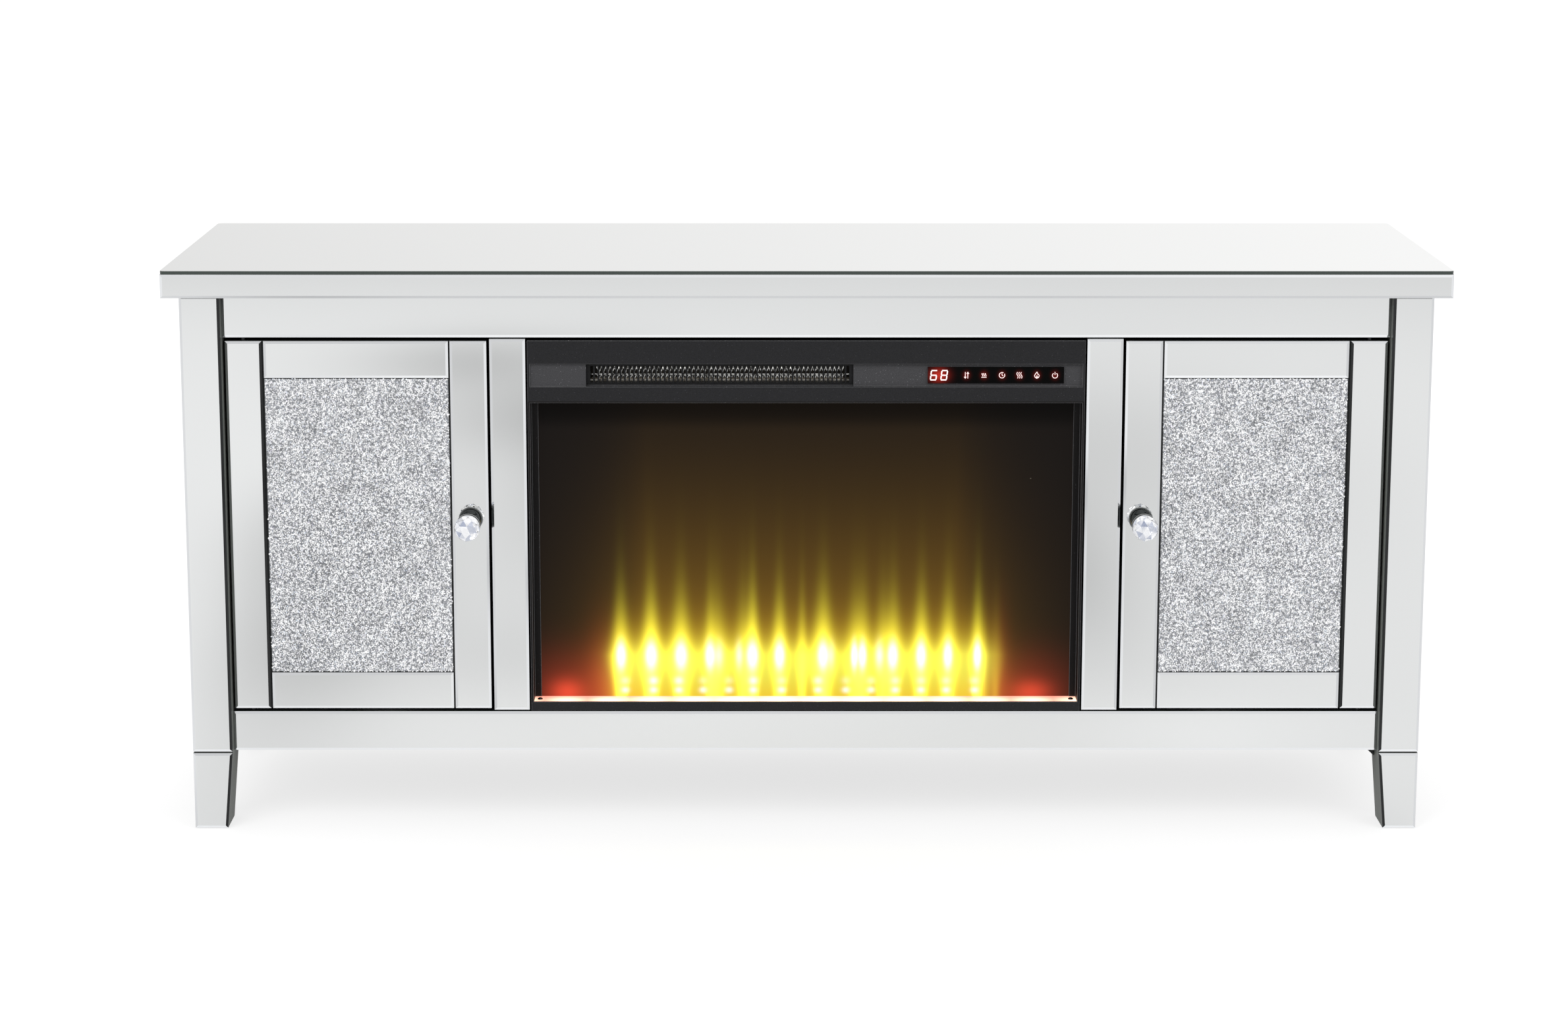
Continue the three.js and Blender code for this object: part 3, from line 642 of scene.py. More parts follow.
def softened(node_name, body, slot, finish, width, shortest=6 * MM, edge_highlight_finish=None):
    """Stands for a CAD part with its long edges rounded over by width."""
    form = bmesh.new()
    form.from_mesh(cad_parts[node_name].data)
    bmesh.ops.remove_doubles(form, verts=form.verts, dist=MERGED)
    bmesh.ops.dissolve_limit(form, angle_limit=math.radians(1), verts=form.verts, edges=form.edges)
    sharp = [
        e for e in form.edges
        if e.is_manifold and e.calc_face_angle() > math.radians(40) and e.calc_length() > shortest
    ]
    rounded = bevelled(form, sharp, width, 2, clamped=True)
    finishes = [finish]
    if edge_highlight_finish:
        finishes.append(edge_highlight_finish)
        for face in rounded:
            face.material_index = 1
    piece = finished_piece(form, "soft_" + node_name, body, slot, *finishes)
    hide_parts(node_name)
    return piece


for name in ["top_board", *both_sides("shelf_{}")]:
    softened(name, "cabinet", "painted_board", painted_board, BOARD_ROUNDING)
for name in both_sides("leg_front_{}", "leg_rear_{}"):
    softened(name, "cabinet", "painted_board", leg_paint, BOARD_ROUNDING)
for side in SIDES:
    softened(f"door_board_{side}", side + "_door", "painted_board", painted_board, BOARD_ROUNDING)
# The bezel's rounded edges get the lighter plastic as a painted highlight.
bezel = softened(
    "insert_bezel", "cabinet", "black_plastic", black_plastic, PLASTIC_ROUNDING, edge_highlight_finish=edge_highlight_plastic,
)

# The shallow recess beside the grille has a greyer face.
grille_low, grille_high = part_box("heater_grille")
bezel_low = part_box("insert_bezel")[0]
bezel.data.materials.append(panel_plastic)
for face in bezel.data.polygons:
    middle = face.center
    in_band = grille_low.z < middle.z < grille_high.z
    recessed = bezel_low.y + 2 * MM < middle.y < bezel_low.y + 5 * MM
    if in_band and recessed and face.normal.y < -0.9:
        face.material_index = 2

# %% [markdown]
# ## Crushed crystal
# The door panels are thousands of clear glass chips on a silvered backing. One small cut chip is enough.
# The scatter below gives every face its own number, and the finish turns that number into a bright, grey
# or dark facet: a painted reflection, since what makes crushed glass sparkle is that each facet shows
# another part of the room. The lamps are hidden from reflections, so the brightest facets get a painted
# glint, a faint light of their own.

# %% One chip and its finish
CHIP_RADIUS = 1.32 * MM
CHIP_SPACING = 1.62 * MM
CHIP_TILT = 0.5
chip_form = bmesh.new()
bmesh.ops.create_cone(
    chip_form, cap_ends=True, cap_tris=False, segments=5,
    radius1=CHIP_RADIUS, radius2=0.0, depth=CHIP_RADIUS * 0.75,
)
moved(chip_form, (0.0, 0.0, CHIP_RADIUS * 0.6))
chip = bpy.data.objects.new("crystal_chip", made_mesh(chip_form, "crystal_chip"))

crushed_crystal, shader = new_finish("crushed_crystal", Specular_IOR_Level=0.6, Emission_Strength=1.0)
facet = node("Attribute", attribute_name="facet").outputs["Fac"]
cluster = grain_of(300.0, 3.2)
level = calc("ADD", facet, fitted(cluster, 1.05, -0.49), clamp=True)
# Each facet's tone is a painted reflection: bright, grey or dark.
facet_reflection_tones = ramped(
    level,
    [(0.0, (0.34, 0.35, 0.37)), (0.20, (0.66, 0.67, 0.69)), (0.45, (0.88, 0.89, 0.91)), (0.70, WHITE)],
)
hue = calc("FRACT", times(facet, 37.0))
tints = [(0.0, WHITE), (0.86, (0.93, 0.90, 1.0)), (0.94, (0.80, 0.88, 1.0))]
tinted = ramped(hue, tints, "CONSTANT")
facet_colour = node("Mix", {0: 1.0, 6: facet_reflection_tones, 7: tinted}, data_type="RGBA", blend_type="MULTIPLY")
drift = grain_of(42.0, 2.6)
drifted = lit(facet_colour.outputs[2], fitted(drift, 0.36, 0.86))
feed(shader, Base_Color=drifted)
# The brightest facets glow faintly: a painted glint.
painted_sparkle = calc("MAXIMUM", fitted(level, 0.42, -0.19), 0.0)
feed(
    shader,
    Emission_Color=lit((1.0, 1.0, 1.0), painted_sparkle),
    Metallic=fitted(facet, 0.35, 0.6),
    Roughness=fitted(hue, 0.2, 0.08),
)


# %% [markdown]
# Geometry nodes scatter the chip over the panel with a least distance between chips, and turn and size
# each at random. The scatter accepts at most 100,000 points per square metre, which is too few here. So
# it works on an enlarged panel, and the result is made small again.


# %% Scatter the chips
ENLARGED = 5.0
CHIP_DENSITY = 40000.0
CHIP_SIZES = (0.8, 1.2)


def random_vector(low, high, seed):
    return any_node(
        "FunctionNodeRandomValue", {0: low, 1: high, "Seed": seed}, data_type="FLOAT_VECTOR",
    ).outputs[0]


def chip_scatter(seed):
    Work.tree = tree = bpy.data.node_groups.new(f"chip_scatter_{seed}", "GeometryNodeTree")
    tree.interface.new_socket("Panel", in_out="INPUT", socket_type="NodeSocketGeometry")
    tree.interface.new_socket("Chips", in_out="OUTPUT", socket_type="NodeSocketGeometry")
    panel = any_node("NodeGroupInput").outputs["Panel"]
    normal = any_node("GeometryNodeInputNormal").outputs[0]
    front = node("VectorMath", {0: normal, 1: (0.0, -1.0, 0.0)}, operation="DOT_PRODUCT")
    is_front = calc("GREATER_THAN", front.outputs["Value"], 0.5)
    enlarged = any_node("GeometryNodeTransform", {"Geometry": panel, "Scale": (ENLARGED,) * 3})
    points = any_node(
        "GeometryNodeDistributePointsOnFaces",
        {"Mesh": enlarged.outputs[0], "Selection": is_front,
         "Distance Min": CHIP_SPACING * ENLARGED, "Density Max": CHIP_DENSITY, "Seed": seed},
        distribute_method="POISSON",
    )
    source = any_node("GeometryNodeObjectInfo", {"Object": chip})
    facing = math.pi / 2
    turn = random_vector(
        (facing - CHIP_TILT, 0.0, -CHIP_TILT), (facing + CHIP_TILT, math.tau, CHIP_TILT), seed + 1,
    )
    smallest, largest = [(size * ENLARGED,) * 3 for size in CHIP_SIZES]
    size = random_vector(smallest, largest, seed + 2)
    placed = any_node(
        "GeometryNodeInstanceOnPoints",
        {"Points": points.outputs["Points"], "Instance": source.outputs["Geometry"],
         "Rotation": turn, "Scale": size},
    )
    real = any_node("GeometryNodeRealizeInstances", {0: placed.outputs[0]})
    number = any_node("FunctionNodeRandomValue", {2: 0.0, 3: 1.0, "Seed": seed + 3}, data_type="FLOAT")
    marked = any_node(
        "GeometryNodeStoreNamedAttribute",
        {"Geometry": real.outputs[0], "Name": "facet", "Value": number.outputs[1]},
        data_type="FLOAT", domain="FACE",
    )
    reduced = any_node(
        "GeometryNodeTransform", {"Geometry": marked.outputs[0], "Scale": (1 / ENLARGED,) * 3}
    )
    whole = any_node("GeometryNodeJoinGeometry", {0: reduced.outputs[0]})
    tree.links.new(panel, whole.inputs[0])
    tree.links.new(whole.outputs[0], any_node("NodeGroupOutput").inputs["Chips"])
    return tree


print("least distance between chips", round(CHIP_SPACING / MM, 2), "mm")

# %% [markdown]
# Each door gets a thin backing slab with its own scatter. The result is made real, so that the chips
# are a mesh like any other piece.

# %% Crystal panels
BACKING_SETBACK = 1.6 * MM
for index, side in enumerate(SIDES):
    low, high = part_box(f"crystal_panel_{side}")
    form = bmesh.new()
    bmesh.ops.create_cube(form, size=1.0)
    centre = Vector(((low.x + high.x) / 2, (low.y + BACKING_SETBACK + high.y) / 2, (low.z + high.z) / 2))
    extent = Vector((high.x - low.x, high.y - low.y - BACKING_SETBACK, high.z - low.z))
    margin = Vector((CHIP_RADIUS, 0.0, CHIP_RADIUS)) * 0.5
    bmesh.ops.scale(form, verts=form.verts, vec=extent - margin)
    moved(form, centre)
    backing = in_scene("crystal_backing", made_mesh(form, "crystal_backing"))
    backing.modifiers.new("chips", "NODES").node_group = chip_scatter(20 + index * 10)
    bpy.context.view_layer.update()
    grown = backing.evaluated_get(bpy.context.evaluated_depsgraph_get())
    chips_mesh = bpy.data.meshes.new_from_object(grown)
    chips_mesh.materials.clear()
    chips_mesh.materials.append(crushed_crystal)
    bpy.data.objects.remove(backing)
    piece = in_scene(f"crushed_crystal_{side}", chips_mesh)
    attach(piece, side + "_door")
    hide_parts(f"crystal_panel_{side}")
    chips_mesh.calc_loop_triangles()
    print(piece.name, "triangles", len(chips_mesh.loop_triangles))

# %% [markdown]
# ## Knobs
# A turned cup of dark polished chrome holds a ball of cut crystal, which has a foil behind it so that
# it throws its light back.

# %% Knob finishes
dark_chrome = mottled(
    "dark_chrome", (0.030, 0.034, 0.034), (0.060, 0.066, 0.066), 260.0, 1.5, 0.08, 0.08,
    Metallic=1.0, Coat_Weight=1.0, Coat_Roughness=0.03,
)[0]

cut_crystal, shader = new_finish("cut_crystal", Transmission_Weight=1.0, IOR=1.6, Metallic=0.0)
# The ball's facets get a painted reflection too: bluish grey to white by their number.
facet = node("Attribute", attribute_name="facet").outputs["Fac"]
facet_reflection_tones = ramped(facet, [(0.05, (0.30, 0.34, 0.46)), (0.36, WHITE)])
feed(shader, Base_Color=facet_reflection_tones, Roughness=times(facet, 0.01))

foil, shader = new_finish("crystal_foil", Metallic=1.0, Roughness=0.15)
foil_tone = mixed(grain_of(500.0, 1.0), (0.88, 0.89, 0.92), (0.97, 0.97, 0.98))
feed(shader, Base_Color=foil_tone)
print("knob finishes", dark_chrome.name, cut_crystal.name, foil.name)

# %% [markdown]
# The cup is a profile spun round the knob's axis. The ball starts as a subdivided icosahedron, whose
# flat triangles make good facets, and is sliced where it sits in the cup.

# %% Knob cups and balls
# The cup's outline: radius and height in mm, from the door outwards.
KNOB_PROFILE = [
    (0.0, 0.0), (9.6, 0.0), (10.0, 0.5), (10.0, 1.6), (9.4, 2.2), (6.6, 2.5), (5.9, 4.2), (6.0, 7.0),
    (7.6, 9.6), (10.8, 11.8), (13.5, 13.8), (14.5, 16.4), (14.5, 20.0), (13.8, 20.7), (11.9, 20.7),
    (11.5, 20.1), (0.0, 20.1),
]
KNOB_STEPS = 48
CUP_FLOOR = 20.0 * MM
BALL_RADIUS = 15.5 * MM


def sliced(form, place, normal):
    """Cuts away what lies past a plane and closes the cut."""
    bmesh.ops.bisect_plane(
        form, geom=form.verts[:] + form.edges[:] + form.faces[:], plane_co=place, plane_no=normal,
        clear_outer=True,
    )
    bmesh.ops.holes_fill(form, edges=[e for e in form.edges if e.is_boundary], sides=0)


for side in SIDES:
    low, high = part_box(f"knob_base_{side}")
    axis = Vector(((low.x + high.x) / 2, high.y, (low.z + high.z) / 2))
    form = bmesh.new()
    points = [form.verts.new((radius * MM, -height * MM, 0.0)) for radius, height in KNOB_PROFILE]
    for first, second in zip(points, points[1:]):
        form.edges.new((first, second))
    bmesh.ops.spin(
        form, geom=form.verts[:] + form.edges[:], cent=(0, 0, 0), axis=(0, 1, 0),
        angle=math.tau, steps=KNOB_STEPS, use_merge=True,
    )
    bmesh.ops.remove_doubles(form, verts=form.verts, dist=MERGED)
    bmesh.ops.recalc_face_normals(form, faces=form.faces)
    for face in form.faces:
        face.smooth = True
        if face.calc_center_median().y < -CUP_FLOOR and abs(face.normal.y) > 0.99:
            face.material_index = 1
    moved(form, axis)
    cup = finished_piece(form, f"knob_cup_{side}", side + "_door", "dark_chrome", dark_chrome, foil)
    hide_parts(f"knob_base_{side}")

    low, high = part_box(f"knob_crystal_{side}")
    centre = Vector(((low.x + high.x) / 2, low.y + BALL_RADIUS, (low.z + high.z) / 2))
    form = bmesh.new()
    bmesh.ops.create_icosphere(form, subdivisions=2, radius=BALL_RADIUS)
    tilt = Matrix.Rotation(0.4, 3, (0.5, 0.2, 0.8))
    bmesh.ops.rotate(form, verts=form.verts, cent=(0, 0, 0), matrix=tilt)
    moved(form, centre)
    sliced(form, (0, high.y, 0), (0, 1, 0))
    facets = form.faces.layers.float.new("facet")
    for number, face in enumerate(form.faces):
        face[facets] = (number * 0.618) % 1.0
    ball = finished_piece(form, f"knob_ball_{side}", side + "_door", "cut_crystal", cut_crystal)
    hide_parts(f"knob_crystal_{side}")
print("knob cup", [round(v, 4) for v in axis])

# %% [markdown]
# ## The flame picture
# Behind its smoked screen the insert throws light from a row of lamps through a turning spindle, which
# gives tall soft tongues with white cores. One tongue is a node group with its own place, width and
# strength. It is widest at the level of its core and narrows to both ends.

# %% One flame tongue
# Sizes and places on the screen are in mm here and in the next two cells, as X and Z are.
CORE_LEVEL = 204.0
CORE_HALF_HEIGHT = 15.8
flame_tongue, given, result = new_group(
    "flame_tongue", {"Across": 0.0, "Up": 0.0, "Middle": 0.0, "Width": 8.5, "Strength": 2.3}, ["Flame"],
)
over_core = minus(given["Up"], CORE_LEVEL)
above = calc("MAXIMUM", over_core, 0.0)
below = calc("MAXIMUM", times(over_core, -1.0), 0.0)
under = calc("DIVIDE", below, 31.0)
closing = fitted(under, under, calc("DIVIDE", above, 60.0))
swell = falling(closing)
half_width = times(given["Width"], fitted(swell, 0.86, 1.0))
aside = minus(given["Across"], given["Middle"])
share = calc("DIVIDE", aside, half_width)
lifted = calc("DIVIDE", above, 26.2)
weakening = fitted(share, share, lifted)
body = falling(weakening)
feed(result, Flame=times(body, given["Strength"]))
print(flame_tongue.name, len(flame_tongue.nodes), "nodes")

# %% [markdown]
# The picture is light, so it goes into the screen's emission. Eighteen tongues stand in a row, most of
# them with a white core, and the lamps below them show as a row of dots.

# %% Flames and lamp dots
# Each tongue: middle, half width and strength, then the half width of its white core.
TONGUES = [
    (-221.4, 5.5, 1.8, 5.5), (-185.2, 5.8, 2.8, 6.5), (-149.3, 6.6, 2.2, 6.6), (-114.6, 3.5, 0.8, 5.3),
    (-108.2, 7.6, 1.4, 0.0), (-74.6, 5.5, 1.1, 0.0), (-63.5, 4.6, 2.9, 6.2), (-31.0, 4.9, 2.1, 5.6),
    (-4.1, 3.5, 1.1, 0.0), (21.2, 6.5, 2.5, 5.9), (58.9, 5.7, 1.0, 3.9), (68.5, 5.9, 1.4, 4.6),
    (92.7, 5.5, 1.1, 0.0), (105.1, 5.8, 1.8, 5.7), (139.0, 5.5, 2.2, 5.4), (171.3, 5.6, 1.9, 4.9),
    (206.7, 4.2, 1.9, 4.3), (228.8, 4.1, 0.2, 0.0),
]
# Each side core: middle, half width and strength. Each lamp dot: middle, and strength of its upper half.
SIDE_CORES = [(-104.0, 5.0, 0.45), (-79.5, 4.0, 0.5), (89.0, 4.5, 0.6), (31.0, 4.0, 0.35)]
LAMP_DOTS = [
    (-216.5, 0.3), (-182.4, 0.6), (-152.2, 0.55), (-122.8, 0.2), (-91.8, 0.2), (-62.4, 0.55),
    (-28.3, 0.25), (15.4, 0.45), (48.8, 0.2), (79.0, 0.25), (108.4, 0.35), (139.3, 0.3), (169.5, 0.3),
    (203.7, 0.3),
]
flame_screen, shader = new_finish(
    "flame_screen", Base_Color=(0.002, 0.002, 0.002), Specular_IOR_Level=0.04, Roughness=0.35,
    Emission_Strength=1.0,
)
x, y, z = object_place()
across, up = in_millimetres(x, z)


def fading(value, start, length, power=1.0):
    """1 up to start, then a smooth fall with the given length."""
    past = calc("MAXIMUM", minus(value, start), 0.0)
    bent = calc("POWER", calc("DIVIDE", past, length), power)
    return falling(bent)


def spot(middle, level, half_width, half_height, strength, sharpness=1.0):
    """One soft spot of light on the screen."""
    glow = soft_spot(across, up, middle, level, half_width, half_height, sharpness)
    return times(glow, strength)


flames = 0.0
cores = 0.0
for middle, half, strength, core in TONGUES:
    tongue = use_group(flame_tongue, Across=across, Up=up, Middle=middle, Width=half, Strength=strength)
    flames = calc("ADD", flames, tongue["Flame"])
    if core:
        white_core = spot(middle, CORE_LEVEL, core, CORE_HALF_HEIGHT, 0.95, 1.26)
        cores = calc("ADD", cores, white_core)
for middle, half, strength in SIDE_CORES:
    cores = calc("ADD", cores, spot(middle, CORE_LEVEL, half, 14.0, strength))
for middle, upper in LAMP_DOTS:
    cores = calc("ADD", cores, spot(middle, 161.0, 4.4, 3.6, 0.6))
    cores = calc("ADD", cores, spot(middle, 172.5, 5.0, 4.6, upper))
print("flame tongues", len(TONGUES), "lamp dots", len(LAMP_DOTS))

# %% [markdown]
# The flames are added to the brown glow above them, the yellow glow between them, and the red lamps at
# both ends. The screen has a painted shadow just under its head.

# %% The whole picture
off_middle = calc("ABSOLUTE", calc("ADD", across, 5.0))
brown = times(fading(off_middle, 185.0, 50.0), fading(up, 200.0, 150.0, 1.5))
low_glow = times(fading(off_middle, 220.6, 8.2), fading(up, 206.0, 25.0, 1.2))
lemon = spot(0.0, 191.0, 4000.0, 34.0, 1.0)
low_colour = mixed(lemon, (1.0, 0.62, 0.015), (1.0, 1.03, 0.10))
reds = 0.0
for middle, half_width, half_height, strength in [
    (-287.0, 19.0, 15.0, 0.60), (-240.0, 21.0, 64.0, 0.22), (-262.0, 68.0, 45.0, 0.23),
    (271.8, 22.0, 14.0, 0.50), (232.0, 12.0, 75.0, 0.16), (252.0, 58.0, 43.0, 0.20),
]:
    reds = calc("ADD", reds, spot(middle, 158.0, half_width, half_height, strength))
# A painted shadow under the head dims the top of the picture.
painted_head_shadow = fitted(fading(up, 478.0, 14.0, 2.0), 0.68, 0.32)
# Dust specks on the screen glow faintly: painted light.
specks = use_group(dust, Scale=34.0, Size=0.022, Amount=0.18)["Speck"]
picture = added(
    (0.0080, 0.0065, 0.0060),
    lit((1.0, 0.50, 0.03), times(brown, 0.175)),
    lit(low_colour, times(low_glow, 0.70)),
    lit((1.0, 0.94, 0.056), flames),
    lit((0.7, 0.7, 1.3), cores),
    lit((1.0, 0.075, 0.035), reds),
    lit((0.10, 0.09, 0.07), specks),
)
feed(shader, Emission_Color=lit(picture, painted_head_shadow))
dress(flame_screen, "flame_screen")
print(flame_screen.name, len(Work.tree.nodes), "nodes")

# %% [markdown]
# ## The lit ledge
# A clear red plastic bar lies in front of the screen, lit from below by a row of lamps. Each lamp burns
# a pale patch into it, and the patches run together in the middle. Two small dark screws hold its ends.

# %% Ledge
lit_ledge, shader = new_finish(
    "lit_ledge", Base_Color=(0.35, 0.10, 0.07), Roughness=0.3, Emission_Strength=1.0,
)
x, y, z = object_place()
LAMP_PITCH = 50.8
FIRST_LAMP = -287.0
ledge_low, ledge_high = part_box("ember_ledge")
across, depth = in_millimetres(x, minus(y, ledge_low.y))
in_pitch = calc("DIVIDE", minus(across, FIRST_LAMP), LAMP_PITCH)
off_lamp = minus(in_pitch, calc("ROUND", in_pitch))
nearest = times(off_lamp, LAMP_PITCH)
lamp_patch = soft_spot(nearest, depth, 0.0, 3.0, 21.0, 14.0)
middle_patch = soft_spot(across, depth, 0.0, 2.0, 230.0, 26.0)
heat = fitted(middle_patch, 0.75, lamp_patch)
warm = lit((1.0, 0.94, 0.66), times(heat, 1.1))
feed(shader, Emission_Color=added((0.78, 0.22, 0.17), warm))
dress(lit_ledge, "ember_ledge")

SCREW_RADIUS = 3.2 * MM
SCREW_FLATNESS = 0.62
SCREW_INSET = (6.5 * MM, 9.0 * MM)
for side, sign in (("left", -1), ("right", 1)):
    form = bmesh.new()
    bmesh.ops.create_uvsphere(form, u_segments=24, v_segments=12, radius=SCREW_RADIUS)
    bmesh.ops.scale(form, verts=form.verts, vec=(1.0, 1.0, SCREW_FLATNESS))
    sliced(form, (0, 0, 0), (0, 0, -1))
    for face in form.faces:
        face.smooth = abs(face.normal.z) < 0.999
    place = (sign * (ledge_high.x - SCREW_INSET[0]), ledge_low.y + SCREW_INSET[1], ledge_high.z)
    moved(form, place)
    finished_piece(form, f"ledge_screw_{side}", "cabinet", "dark_chrome", dark_chrome)
print("ledge", [round(v, 4) for v in (*ledge_low, *ledge_high)])

# %% [markdown]
# ## The heater behind the grille
# The insert's fan heater has a thin resistance ribbon folded into a zigzag and stretched over a frame.
# The frame is pressed mica board, which is flaky and slightly shiny.

# %% Heater finishes and frame
heater_metal, shader = new_finish("heater_metal", Metallic=0.2, Emission_Strength=1.0)
# The ribbon's painted glints: where a noise is high it is pale, smoother and glows faintly.
painted_glint = grain_of(420.0, 5.0)
feed(
    shader,
    Base_Color=mixed(painted_glint, (0.16, 0.16, 0.155), (0.90, 0.90, 0.88)),
    Roughness=fitted(painted_glint, -0.25, 0.5),
    Emission_Color=lit((1.0, 1.0, 0.97), times(painted_glint, 0.40)),
)
# The frame's back wall and top bar get a near-black mica: painted shade for their depth behind the
# ribbon. Only the sill has the pale mica.
MICA = {"mica_in_painted_shade": ((0.02, 0.017, 0.014), (0.07, 0.06, 0.05)),
        "pale_mica": ((0.42, 0.36, 0.29), (0.72, 0.64, 0.54))}
micas = [
    mottled(name, dark, light, 500.0, 2.0, 0.3, 0.4, Specular_IOR_Level=0.2)[0]
    for name, (dark, light) in MICA.items()
]


def bar(form, low, high):
    """A box between two corners, added to the form."""
    made = bmesh.ops.create_cube(form, size=1.0)["verts"]
    bmesh.ops.scale(form, verts=made, vec=Vector(high) - Vector(low))
    bmesh.ops.translate(form, verts=made, vec=(Vector(low) + Vector(high)) / 2)
    return made


low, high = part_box("heating_element")
form = bmesh.new()
RIM_DEPTH = 9 * MM
bar(form, (low.x, low.y + RIM_DEPTH, low.z), high)
sill = bar(form, low, (high.x, low.y + RIM_DEPTH, low.z + 6.5 * MM))
for face in {face for vert in sill for face in vert.link_faces}:
    face.material_index = 1
bar(form, (low.x, low.y, high.z - 2 * MM), (high.x, low.y + RIM_DEPTH, high.z))
bevelled(form, form.edges[:], 0.3 * MM, 1)
heater_frame = finished_piece(form, "heater_frame", "cabinet", "steel", *micas)
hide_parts("heating_element")
print("heater frame", [round(v, 4) for v in (*low, *high)])

# %% [markdown]
# One folded tooth of the ribbon is enough: an Array modifier repeats it along the outlet.

# %% Heater ribbon and wires
TOOTH = 5.2 * MM
RIBBON_HALF = 0.36 * MM
RIBBON_LEAN = 0.42
# Each row: its lower and upper level, its place in depth, and its teeth.
RIBBON_ROWS = [(549.6, 557.5, -3.5, 56), (542.6, 547.6, -2.0, 56)]
WIRES = [(548.8, 0.6), (541.8, 0.3)]
for row, (bottom, top, back, count) in enumerate(RIBBON_ROWS):
    form = bmesh.new()
    for lean in (-1, 1):
        strip = bar(form, (-RIBBON_HALF, 0, 0), (RIBBON_HALF, 4 * MM, (top - bottom) * MM))
        bmesh.ops.rotate(
            form, verts=strip, cent=(0, 0, (top - bottom) * MM / 2),
            matrix=Matrix.Rotation(lean * RIBBON_LEAN, 3, "Y"),
        )
        bmesh.ops.translate(form, verts=strip, vec=(lean * TOOTH / 4, 0, 0))
    moved(form, (low.x + 13 * MM, low.y + back * MM, bottom * MM))
    ribbon = in_scene(f"heater_ribbon_{row}", made_mesh(form, "ribbon", heater_metal))
    teeth = ribbon.modifiers.new("teeth", "ARRAY")
    teeth.count = count
    teeth.use_relative_offset = False
    teeth.use_constant_offset = True
    teeth.constant_offset_displace = (TOOTH, 0, 0)
    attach(ribbon, "cabinet")

form = bmesh.new()
for level, radius in WIRES:
    wire = bmesh.ops.create_cone(
        form, cap_ends=True, segments=10, radius1=radius * MM, radius2=radius * MM,
        depth=high.x - low.x - 4 * MM, matrix=Matrix.Rotation(math.pi / 2, 4, "Y"),
    )["verts"]
    bmesh.ops.translate(form, verts=wire, vec=((low.x + high.x) / 2, low.y - 4.4 * MM, level * MM))
finished_piece(form, "heater_wires", "cabinet", "steel", heater_metal)
print("heater teeth", sum(row[3] for row in RIBBON_ROWS))

# %% [markdown]
# ## The touch strip
# A gloss black strip shows two digits and six lit signs. Each sign is drawn with thin round strokes:
# a polyline curve with a bevel becomes a mesh, and all strokes of one sign are gathered in one piece.

# %% Strokes
glass_low, glass_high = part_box("control_glass")
SIGN_PLANE = glass_low.y
SIGN_LEVEL = (glass_low.z + glass_high.z) / 2 / MM


def arc(x, z, radius, start, end, steps=16):
    """Points on part of a circle, from start to end in degrees."""
    turn = [math.radians(start + (end - start) * i / steps) for i in range(steps + 1)]
    return [(x + radius * math.cos(a), z + radius * math.sin(a)) for a in turn]


def rising(x, z, width, height, steps=12):
    """A waving line that stands upright."""
    turns = [i / steps for i in range(steps + 1)]
    return [(x + width * math.sin(turn * math.tau), z + height * (turn - 0.5)) for turn in turns]


def drawn(strokes, radius, middle, slant=0.0):
    """A bmesh of round strokes on the strip, from points in mm round the sign's middle."""
    form = bmesh.new()
    for points in strokes:
        curve = bpy.data.curves.new("stroke", "CURVE")
        curve.dimensions = "3D"
        spline = curve.splines.new("POLY")
        spline.points.add(len(points) - 1)
        for place, (u, v) in zip(spline.points, points):
            place.co = ((middle + u + slant * v) * MM, SIGN_PLANE, (SIGN_LEVEL + v) * MM, 1.0)
        curve.bevel_depth = radius * MM
        curve.bevel_resolution = 2
        curve.use_fill_caps = True
        holder = in_scene("stroke", curve)
        bpy.context.view_layer.update()
        stroke = holder.evaluated_get(bpy.context.evaluated_depsgraph_get())
        form.from_mesh(bpy.data.meshes.new_from_object(stroke))
        bpy.data.objects.remove(holder)
    bmesh.ops.remove_doubles(form, verts=form.verts, dist=MERGED)
    bmesh.ops.recalc_face_normals(form, faces=form.faces)
    return form


print("signs stand at", round(SIGN_LEVEL, 1), "mm")

# %% [markdown]
# Each sign and digit has its middle on the strip and its strokes, in mm. A digit is made of the seven
# bars that all lit counters share.

# %% Signs and digits
SIGN_STROKE = 0.40
DIGIT_STROKE = 0.75
HALF_DIGIT = 3.3
HALF_TALL = 5.6
GAP = 0.6
SEGMENTS = {
    name: [(-HALF_DIGIT, level), (HALF_DIGIT, level)]
    for name, level in (("top", HALF_TALL), ("middle", 0.0), ("bottom", -HALF_TALL))
}
for half, bottom, top in (("upper", GAP, HALF_TALL - GAP), ("lower", GAP - HALF_TALL, -GAP)):
    for side, place in (("left", -HALF_DIGIT), ("right", HALF_DIGIT)):
        SEGMENTS[f"{half}_{side}"] = [(place, bottom), (place, top)]
flame_outline = [
    (0.0, 4.0), (-0.8, 2.6), (-2.1, 1.1), (-2.8, -0.7), (-2.1, -2.6), (0.0, -3.7), (2.1, -2.6),
    (2.8, -0.7), (2.1, 1.3), (1.3, 0.5), (0.8, 2.4), (0.0, 4.0),
]
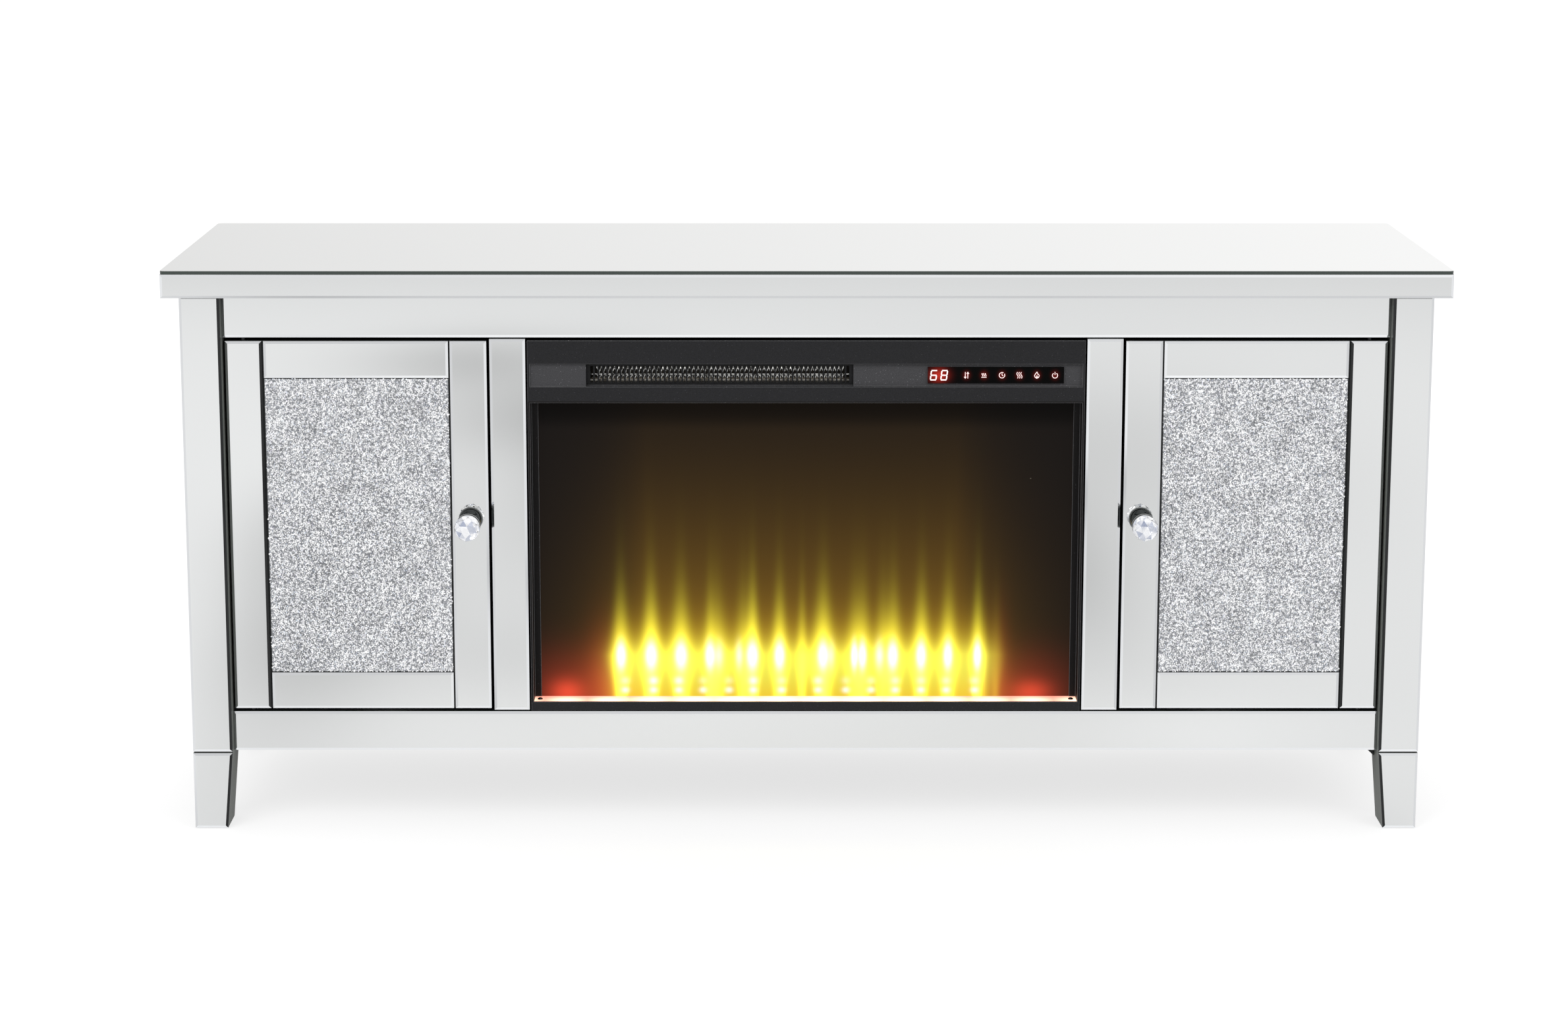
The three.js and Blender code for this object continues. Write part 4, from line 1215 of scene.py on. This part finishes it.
SIGNS = {
    "up_down": (188.5, [
        [(-1.5, 3.8), (-1.5, -3.6)], [(-2.8, -1.8), (-1.5, -3.8), (-0.2, -1.8)],
        [(1.5, -3.8), (1.5, 3.6)], [(0.2, 1.8), (1.5, 3.8), (2.8, 1.8)],
    ]),
    "warm_air": (209.0, [
        rising(-1.9, 0.6, 0.5, 3.6), rising(0.0, 0.6, 0.5, 3.6), rising(1.9, 0.6, 0.5, 3.6),
        [(-3.0, -2.4), (3.0, -2.4)],
    ]),
    "timer": (230.2, [arc(0, 0, 3.3, 60, 390), [(0.0, 0.0), (0.0, 2.2)], [(0.0, 0.0), (1.5, -0.8)]]),
    "heat": (250.7, [
        rising(-2.3, 0.0, 0.8, 7.4), rising(0.0, 0.0, 0.8, 7.4), rising(2.3, 0.0, 0.8, 7.4),
    ]),
    "flame": (271.2, [flame_outline, [(0.0, -3.4), (-0.9, -1.9), (0.0, -0.4), (0.9, -1.9), (0.0, -3.4)]]),
    "power": (292.5, [arc(0, -0.3, 3.1, 125, 415), [(0.0, 0.4), (0.0, 3.8)]]),
}
DIGITS = {
    "six": (149.9, [part for part in SEGMENTS if part != "upper_right"]),
    "eight": (162.2, list(SEGMENTS)),
}
print("signs", list(SIGNS), "digits", list(DIGITS))

# %% [markdown]
# The signs glow a warm white, the digits a little whiter. The red halo is light that leaks round them,
# so it belongs to the strip's own emission.

# %% Sign finishes and pieces
def sign_light(name, colour, dim, bright):
    finish, shader = new_finish(name, Base_Color=colour, Emission_Strength=1.0)
    feed(shader, Emission_Color=mixed(grain_of(600.0, 1.0), dim, bright))
    return finish


lit_sign = sign_light("lit_sign", (0.6, 0.4, 0.4), (0.95, 0.70, 0.68), (1.1, 1.0, 0.97))
lit_digit = sign_light("lit_digit", (0.6, 0.5, 0.5), (1.0, 0.80, 0.78), (1.0, 0.97, 0.96))

for name, (middle, strokes) in SIGNS.items():
    form = drawn(strokes, SIGN_STROKE, middle)
    finished_piece(form, "sign_" + name, "cabinet", "control_gloss", lit_sign)
for name, (middle, parts) in DIGITS.items():
    form = drawn([SEGMENTS[part] for part in parts], DIGIT_STROKE, middle, slant=0.12)
    finished_piece(form, "digit_" + name, "cabinet", "control_gloss", lit_digit)

control_gloss, shader = new_finish(
    "control_gloss", Base_Color=(0.002, 0.002, 0.002), Roughness=0.06, Specular_IOR_Level=0.04,
    Emission_Strength=1.0,
)
x, y, z = object_place()
across, up = in_millimetres(x, z)
halo = 0.0
# Each halo: middle, half width and strength. The first is the digits' own.
for middle, half, strength in [(156.0, 9.5, 0.55)] + [(place, 3.8, 0.13) for place, _ in SIGNS.values()]:
    ring = soft_spot(across, up, middle, SIGN_LEVEL, half, half * 0.5 + 2.4)
    halo = calc("ADD", halo, times(ring, strength))
smears = grain_of(40.0, 1.5)
feed(shader, Roughness=fitted(smears, 0.05, 0.04), Emission_Color=lit((0.9, 0.05, 0.03), halo))
dress(control_gloss, "control_glass")
print(control_gloss.name, len(Work.tree.nodes), "nodes")

# %% [markdown]
# ## Small fixings
# A glue block braces the corner behind the right front foot, and the back panel is held by a row of
# small pan-head screws.

# %% Corner brace and back screws
low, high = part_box("leg_front_right")
rail_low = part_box("bottom_rail")[0]
BRACE = 13 * MM
BRACE_DEPTH = 9 * MM
form = bmesh.new()
corner = Vector((low.x, (low.y + high.y) / 2 + 6 * MM, rail_low.z))
outline = [form.verts.new(corner + offset) for offset in (
    Vector((0, 0, 0)), Vector((-BRACE, 0, 0)), Vector((0.6 * MM, 0, -BRACE)),
)]
plate = form.faces.new(outline)
grown = bmesh.ops.extrude_face_region(form, geom=[plate])["geom"]
far_side = [v for v in grown if isinstance(v, bmesh.types.BMVert)]
bmesh.ops.translate(form, verts=far_side, vec=(0, BRACE_DEPTH, 0))
bmesh.ops.recalc_face_normals(form, faces=form.faces)
bevelled(form, form.edges[:], 0.5 * MM, 2)
finished_piece(form, "corner_brace", "cabinet", "painted_board", painted_board)

low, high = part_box("back_panel")
places = [(x, z) for x in (-0.70, -0.351, 0.351, 0.70) for z in (0.16, 0.37, 0.58)]
places += [(x, z) for x in (-0.525, -0.175, 0.175, 0.525) for z in (0.133, 0.630)]
HEAD_HEIGHT = 1.4 * MM
form = bmesh.new()
for x, z in places:
    head = bmesh.ops.create_cone(
        form, cap_ends=True, segments=20, radius1=4.0 * MM, radius2=2.6 * MM, depth=HEAD_HEIGHT,
        matrix=Matrix.Rotation(-math.pi / 2, 4, "X"),
    )["verts"]
    bmesh.ops.translate(form, verts=head, vec=(x, high.y + HEAD_HEIGHT / 2, z))
finished_piece(form, "back_screws", "cabinet", "steel", steel)
print("back screws", len(places))

# %% [markdown]
# ## Last step
# The size of the dressed model is printed. The dressed model has to stay in the box of the CAD
# model.

# %% Size and finish
low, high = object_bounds()
print("visual", [round(v, 4) for v in (*low, *high)])
